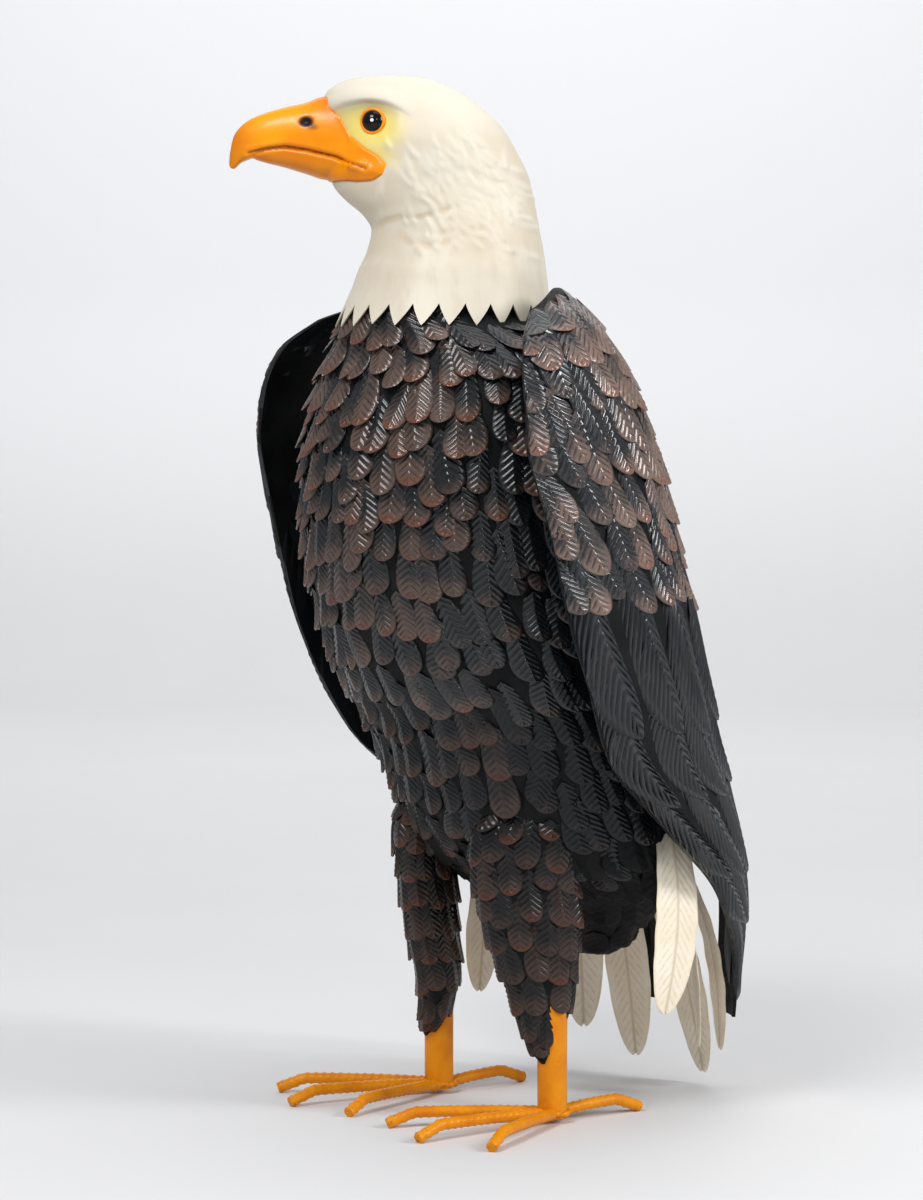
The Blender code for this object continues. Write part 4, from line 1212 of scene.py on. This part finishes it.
# Materials
class Shader:
    """Short helpers for a material's nodes."""

    def __init__(self, name):
        self.material = bpy.data.materials.new(name)
        self.material.use_nodes = True
        self.tree = self.material.node_tree
        self.surface = self.tree.nodes["Principled BSDF"]

    def node(self, kind, **settings):
        made = self.tree.nodes.new(kind)
        for key, value in settings.items():
            setattr(made, key, value)
        return made

    def put(self, value, socket):
        if isinstance(value, bpy.types.NodeSocket):
            self.tree.links.new(value, socket)
        elif isinstance(value, tuple) and len(value) == 3 and socket.type == "RGBA":
            socket.default_value = (*value, 1.0)
        else:
            socket.default_value = value

    def paint(self):
        """The four paint values stored on the mesh."""
        source = self.node("ShaderNodeAttribute", attribute_name="paint")
        split = self.node("ShaderNodeSeparateColor")
        self.put(source.outputs["Color"], split.inputs[0])
        return split.outputs[0], split.outputs[1], split.outputs[2], source.outputs["Alpha"]

    def place(self):
        return self.node("ShaderNodeTexCoord").outputs["Object"]

    def height(self):
        split = self.node("ShaderNodeSeparateXYZ")
        self.put(self.place(), split.inputs[0])
        return split.outputs[2]

    def math(self, operation, first, second):
        made = self.node("ShaderNodeMath", operation=operation)
        self.put(first, made.inputs[0])
        self.put(second, made.inputs[1])
        return made.outputs[0]

    def times(self, first, second):
        return self.math("MULTIPLY", first, second)

    def plus(self, total, *others):
        for other in others:
            total = self.math("ADD", total, other)
        return total

    def swing(self, value, strength):
        """How far a value lies from one half, times a strength."""
        return self.times(self.math("SUBTRACT", value, 0.5), strength)

    def span(self, value, low, high, out_low=0.0, out_high=1.0):
        """Map a range onto another, smoothly, and hold it at the ends."""
        made = self.node("ShaderNodeMapRange", interpolation_type="SMOOTHSTEP")
        self.put(value, made.inputs["Value"])
        ends = {"From Min": low, "From Max": high, "To Min": out_low, "To Max": out_high}
        for name, number in ends.items():
            made.inputs[name].default_value = number
        return made.outputs["Result"]

    def mix(self, share, first, second):
        made = self.node("ShaderNodeMix", data_type="RGBA")
        self.put(share, made.inputs[0])
        self.put(first, made.inputs[6])
        self.put(second, made.inputs[7])
        return made.outputs[2]

    def over(self, colour, share, strength, tone):
        """Lay a tone over a colour, by a share times a strength."""
        return self.mix(self.times(share, strength), colour, tone)

    def noise(self, scale, detail=3.0, roughness=0.55, stretch=None):
        made = self.node("ShaderNodeTexNoise")
        source = self.place()
        if stretch:
            mapping = self.node("ShaderNodeMapping")
            mapping.inputs["Scale"].default_value = stretch
            self.put(source, mapping.inputs["Vector"])
            source = mapping.outputs["Vector"]
        self.put(source, made.inputs["Vector"])
        made.inputs["Scale"].default_value = scale
        made.inputs["Detail"].default_value = detail
        made.inputs["Roughness"].default_value = roughness
        return made.outputs["Fac"]

    def bump(self, value, distance, strength):
        made = self.node("ShaderNodeBump")
        made.inputs["Strength"].default_value = strength
        made.inputs["Distance"].default_value = distance
        self.put(value, made.inputs["Height"])
        self.put(made.outputs["Normal"], self.surface.inputs["Normal"])

    def finish(self, colour, roughness, metallic=0.0, coat=0.0, coat_roughness=0.1, specular=0.5):
        self.put(colour, self.surface.inputs["Base Color"])
        self.put(roughness, self.surface.inputs["Roughness"])
        self.surface.inputs["Metallic"].default_value = metallic
        self.surface.inputs["Specular IOR Level"].default_value = specular
        self.surface.inputs["Coat Weight"].default_value = coat
        self.surface.inputs["Coat Roughness"].default_value = coat_roughness
        return self.material


def feather_material(name, groove, middle, tip, shade, gloss):
    """Dark stamped metal with copper rubbing on the ribs and the tips, under clear varnish; each leaf's root
    is darkened as painted shade under the row above.
    """
    s = Shader(name)
    relief, along, tint, hue = s.paint()
    patch = s.noise(38.0, 4.0)
    speck = s.noise(260.0)
    # Lighter along each leaf: partly copper rubbing towards the tip, partly painted shade at the root under
    # the row above
    rubbing_and_root_shade = s.plus(s.times(relief, 0.35), s.times(s.span(along, 0.35, 0.9), 0.6),
                    s.swing(patch, 1.2), s.swing(tint, 1.1), s.swing(speck, 0.4))
    base = s.mix(s.span(rubbing_and_root_shade, 0.1, 1.0), groove, middle)
    reddish = s.times(s.times(s.span(along, 0.72, 0.98), s.span(hue, 0.1, 0.8)), s.span(tint, 0.1, 0.5))
    colour = s.over(base, reddish, 0.75, tip)
    colour = s.over(colour, s.span(relief, 0.5, 0.0), 0.8, groove)
    colour = s.mix(shade, colour, groove)
    roughness = s.plus(s.span(relief, 0.2, 0.75, 0.42, 0.24), s.span(speck, 0.3, 0.8, -0.04, 0.08))
    s.bump(speck, 0.0003, 0.4)
    return s.finish(colour, roughness, metallic=0.1, coat=0.2 * gloss, coat_roughness=0.12,
                    specular=0.4 * gloss)


def flight_material():
    s = Shader("slate_flight_feathers")
    relief, _, tint, _ = s.paint()
    patch = s.noise(14.0)
    streak = s.noise(130.0, stretch=(1.0, 1.0, 0.25))
    cover = s.plus(relief, s.swing(streak, 0.8))
    base = s.mix(s.span(cover, 0.2, 1.0), (0.004, 0.006, 0.008), (0.034, 0.037, 0.041))
    colour = s.over(base, s.span(patch, 0.52, 0.75), 0.5, (0.050, 0.034, 0.027))
    colour = s.over(colour, s.span(tint, 0.2, 1.0), 0.3, (0.022, 0.028, 0.037))
    s.bump(streak, 0.0003, 0.4)
    roughness = s.plus(s.span(relief, 0.2, 0.8, 0.44, 0.2), s.span(streak, 0.3, 0.8, -0.02, 0.08))
    return s.finish(colour, roughness, metallic=0.1, coat=0.16, coat_roughness=0.14, specular=0.34)


def black_material():
    s = Shader("matte_black_enamel")
    grain = s.noise(420.0)
    broad = s.noise(26.0)
    colour = s.mix(s.span(broad, 0.35, 0.75), (0.004, 0.0045, 0.005), (0.010, 0.0105, 0.011))
    s.bump(s.plus(grain, s.times(broad, 2.0)), 0.0006, 0.7)
    return s.finish(colour, s.span(grain, 0.3, 0.8, 0.5, 0.72), specular=0.14)


BEAK_TONES = ((0.98, 0.345, 0.001), (0.92, 0.27, 0.001))


def head_material():
    s = Shader("ivory_head_enamel")
    orange, yellow, shadow, wash_and_fold_shade = s.paint()
    cloud = s.noise(16.0, 4.0)
    brush = s.noise(90.0, 4.0, stretch=(1.0, 1.0, 0.22))
    grain = s.noise(900.0, 2.0)
    ivory = s.mix(s.span(cloud, 0.4, 0.75), (0.70, 0.645, 0.53), (0.66, 0.585, 0.455))
    low = s.times(s.span(s.height(), 0.80, 0.70), s.span(brush, 0.46, 0.8))
    ivory = s.over(ivory, low, 0.65, (0.62, 0.53, 0.41))
    # Beige wash in the recesses, partly painted shade in the throat folds
    ivory = s.over(ivory, s.span(wash_and_fold_shade, 0.52, 0.85), 0.9, (0.62, 0.52, 0.38))
    ivory = s.over(ivory, yellow, 0.9, (0.84, 0.68, 0.13))
    # Painted shadow under the brow and inside the collar's hem
    ivory = s.over(ivory, shadow, 0.6, (0.24, 0.23, 0.13))
    colour = s.mix(orange, ivory, s.mix(s.span(s.noise(30.0), 0.35, 0.7), *BEAK_TONES))
    s.bump(s.plus(grain, brush), 0.00025, 0.3)
    gloss = s.math("SUBTRACT", s.span(brush, 0.3, 0.8, 0.44, 0.58), s.times(orange, 0.15))
    return s.finish(colour, gloss, coat=0.06, coat_roughness=0.25, specular=0.3)


def beak_material():
    s = Shader("orange_beak_enamel")
    dark_marks, dark, cere, tip = s.paint()
    grain = s.noise(500.0)
    colour = s.mix(s.span(s.noise(30.0), 0.35, 0.7), *BEAK_TONES)
    colour = s.over(colour, cere, 0.62, (0.66, 0.095, 0.004))
    # Darker at the tip, with painted shade on the lower jaw under the mouth line
    colour = s.over(colour, tip, 0.55, (0.50, 0.13, 0.003))
    # Darker along the mouth line
    colour = s.over(colour, dark_marks, s.span(grain, 0.2, 0.7, 0.45, 0.95), (0.22, 0.045, 0.004))
    colour = s.mix(s.span(dark, 0.0, 0.9), colour, (0.16, 0.035, 0.006))
    colour = s.mix(s.span(dark, 0.55, 1.1), colour, (0.008, 0.006, 0.006))
    s.bump(grain, 0.0002, 0.3)
    roughness = s.span(grain, 0.3, 0.8, 0.28, 0.4)
    return s.finish(colour, roughness, coat=0.1, coat_roughness=0.15, specular=0.26)


def eye_material():
    s = Shader("black_eye_gloss")
    reach, glint, _, _ = s.paint()
    rim = s.mix(s.span(reach, 0.79, 0.83), (0.004, 0.004, 0.005), (0.45, 0.12, 0.01))
    # The white dot is a painted highlight
    colour = s.mix(s.span(glint, 0.15, 0.11), rim, (0.95, 0.95, 0.95))
    return s.finish(colour, 0.12, coat=0.1, coat_roughness=0.03, specular=0.2)


def orange_material():
    """Orange paint, worn and dirty at the welds and the tips."""
    s = Shader("worn_orange_enamel")
    _, along, _, joint = s.paint()
    patch = s.noise(45.0, 4.0)
    speck = s.noise(330.0, 4.0, 0.7)
    colour = s.mix(s.span(patch, 0.35, 0.7), (0.80, 0.285, 0.002), (0.70, 0.21, 0.002))
    dark_marks = s.plus(speck, s.times(joint, 0.1), s.times(s.span(along, 0.9, 1.0), 0.12))
    colour = s.over(colour, s.span(dark_marks, 0.62, 0.78), 0.75, (0.26, 0.09, 0.012))
    s.bump(s.plus(speck, patch), 0.0005, 0.5)
    roughness = s.span(speck, 0.3, 0.8, 0.32, 0.5)
    return s.finish(colour, roughness, coat=0.05, coat_roughness=0.15, specular=0.2)


def tail_material():
    s = Shader("cream_tail_enamel")
    relief, _, _, edge = s.paint()
    cloud = s.noise(22.0, 4.0)
    speck = s.noise(240.0)
    colour = s.mix(s.span(cloud, 0.35, 0.72), (0.95, 0.87, 0.72), (0.87, 0.75, 0.56))
    vein = s.times(s.span(relief, 0.5, 0.2), s.span(speck, 0.3, 0.6))
    colour = s.over(colour, vein, 0.35, (0.58, 0.43, 0.24))
    colour = s.over(colour, s.span(edge, 0.12, 0.0), 0.45, (0.42, 0.29, 0.13))
    s.bump(s.plus(speck, cloud), 0.0004, 0.4)
    return s.finish(colour, s.span(speck, 0.3, 0.8, 0.4, 0.58), coat=0.15, coat_roughness=0.2)


def studio_material():
    """A pale floor that turns into a slightly bluer wall, painted paler with height to stand for the brighter
    light on the wall.
    """
    s = Shader("studio_floor")
    floor = s.mix(s.noise(3.0), (0.715, 0.71, 0.705), (0.745, 0.745, 0.75))
    # The wall is painted paler than the floor: painted light
    return s.finish(s.mix(s.span(s.height(), 0.05, 0.8), floor, (0.90, 0.905, 0.915)), 0.7)


# Studio: places are distances towards the camera, to the picture's right and up
TOWARDS = Vector((sin(radians(CAMERA_AZIMUTH)), -cos(radians(CAMERA_AZIMUTH)), 0.0))
RIGHT = Vector((cos(radians(CAMERA_AZIMUTH)), sin(radians(CAMERA_AZIMUTH)), 0.0))
UP = Vector((0.0, 0.0, 1.0))
SWEEP_FRONT = -5600.0
SWEEP_BACK = 5200.0
SWEEP_BEND = 900.0
SWEEP_TOP = 3800.0
SWEEP_HALF_WIDTH = 4500.0
SWEEP_BEND_POINTS = 40
AIR_COLOUR = (0.93, 0.95, 1.0, 1.0)
AIR_STRENGTH = 0.36
# Lights: place, target, size in metres, power in watts
LIGHTS = {
    "key": ((1.6, -1.0, 2.4), (0, 0, 0.5), (1.0, 0.7), 40),
    "top": ((0.0, 0.3, 2.9), (0, 0, 0.4), (1.7, 1.5), 14),
    "side": ((1.0, 2.2, 1.6), (0, 0, 0.6), (0.5, 1.0), 36),
    "front": ((2.6, 0.9, 1.5), (0, 0, 0.5), (0.4, 0.6), 7),
    "far_floor": ((-2.6, 0, 3.2), (-2.8, 0, 0), (4.0, 1.5), 32),
    "backdrop": ((-3.1, 0, 3.3), (-5.2, 0, 1.1), (4.0, 0.8), 42),
}


def studio_place(towards, right, up):
    return TOWARDS * towards + RIGHT * right + UP * up


def studio():
    """A floor that bends up into a wall far behind the statuette."""
    start, rise = SWEEP_BACK - SWEEP_BEND, SWEEP_BEND
    profile = [(SWEEP_FRONT, 0.0), (start, 0.0)]
    profile += [(start + rise * sin(turn), rise - rise * cos(turn))
                for turn in spread(0, pi / 2, SWEEP_BEND_POINTS)]
    profile.append((SWEEP_BACK, SWEEP_TOP))
    points = [studio_place(-depth, side, height) * MM
              for depth, height in profile for side in (-SWEEP_HALF_WIDTH, SWEEP_HALF_WIDTH)]
    mesh = bpy.data.meshes.new("studio_sweep")
    mesh.from_pydata([tuple(point) for point in points], [], grid_faces(len(profile), 2))
    mesh.shade_smooth()
    mesh.materials.append(studio_material())
    floor = bpy.data.objects.new("studio_sweep", mesh)
    bpy.context.scene.collection.objects.link(floor)


def lights():
    world = bpy.data.worlds.new("studio_air")
    world.use_nodes = True
    background = world.node_tree.nodes["Background"]
    background.inputs["Color"].default_value = AIR_COLOUR
    background.inputs["Strength"].default_value = AIR_STRENGTH
    bpy.context.scene.world = world
    for name, (place, target, size, power) in LIGHTS.items():
        data = bpy.data.lights.new(name, "AREA")
        data.shape = "RECTANGLE"
        data.size, data.size_y = size
        data.energy = power
        item = bpy.data.objects.new(name, data)
        item.location = studio_place(*place)
        aim = studio_place(*target) - studio_place(*place)
        item.rotation_euler = aim.to_track_quat("-Z", "Y").to_euler()
        bpy.context.scene.collection.objects.link(item)


def camera():
    data = bpy.data.cameras.new("camera")
    data.sensor_width = SENSOR
    data.lens = SENSOR * FOCAL_PIXELS / PICTURE_HEIGHT
    data.clip_end = VIEW_END
    item = bpy.data.objects.new("camera", data)
    item.location = studio_place(CAMERA_DISTANCE, 0, CAMERA_HEIGHT) * MM + Vector((0, ANKLE_Y, 0))
    yaw, pitch = radians(CAMERA_YAW), radians(CAMERA_PITCH)
    aim = studio_place(-cos(yaw), -sin(yaw), -tan(pitch))
    item.rotation_euler = aim.to_track_quat("-Z", "Y").to_euler()
    bpy.context.scene.collection.objects.link(item)
    bpy.context.scene.camera = item


# How far each band of body feathers is blackened, and how glossy it is
BAND_LOOKS = ((0.0, 1.0), (0.2, 1.15), (0.55, 0.6))


def main():
    bpy.context.scene.view_settings.view_transform = "Standard"
    bands = [feather_material("dark_" + band, (0.006, 0.008, 0.010), (0.118, 0.074, 0.056),
                              (0.17, 0.055, 0.028), shade, gloss)
             for band, (shade, gloss) in zip(BODY_BANDS, BAND_LOOKS)]
    thigh = feather_material("dark_thigh_feathers", (0.005, 0.005, 0.006), (0.050, 0.030, 0.022),
                             (0.105, 0.030, 0.014), 0.0, 0.7)
    covert = feather_material("copper_wing_coverts", (0.008, 0.010, 0.013), (0.215, 0.142, 0.112),
                              (0.24, 0.096, 0.057), 0.0, 1.4)
    black = black_material()
    flight = flight_material()
    orange = orange_material()
    beak_orange = beak_material()
    eye_gloss = eye_material()
    cream = tail_material()
    body_skin(black)
    body_feathers(bands)
    rump_feathers(black)
    thigh_feathers(thigh)
    for side, word in SIDES:
        wing_shell(side, word, black)
        wing_flight(side, word, flight)
        wing_coverts(side, word, covert)
        leg_tube(side, word, orange)
        weld(side, word, orange)
        for kind in TOES:
            toe(side, word, kind, orange)
        eye(side, word, eye_gloss, beak_orange)
    head_skin(head_material())
    beak(beak_orange)
    for name, (root, tip, turn, bow) in TAIL_BLADES.items():
        tail_blade(name, root, tip, turn, bow, cream)
    studio()
    lights()
    camera()


main()
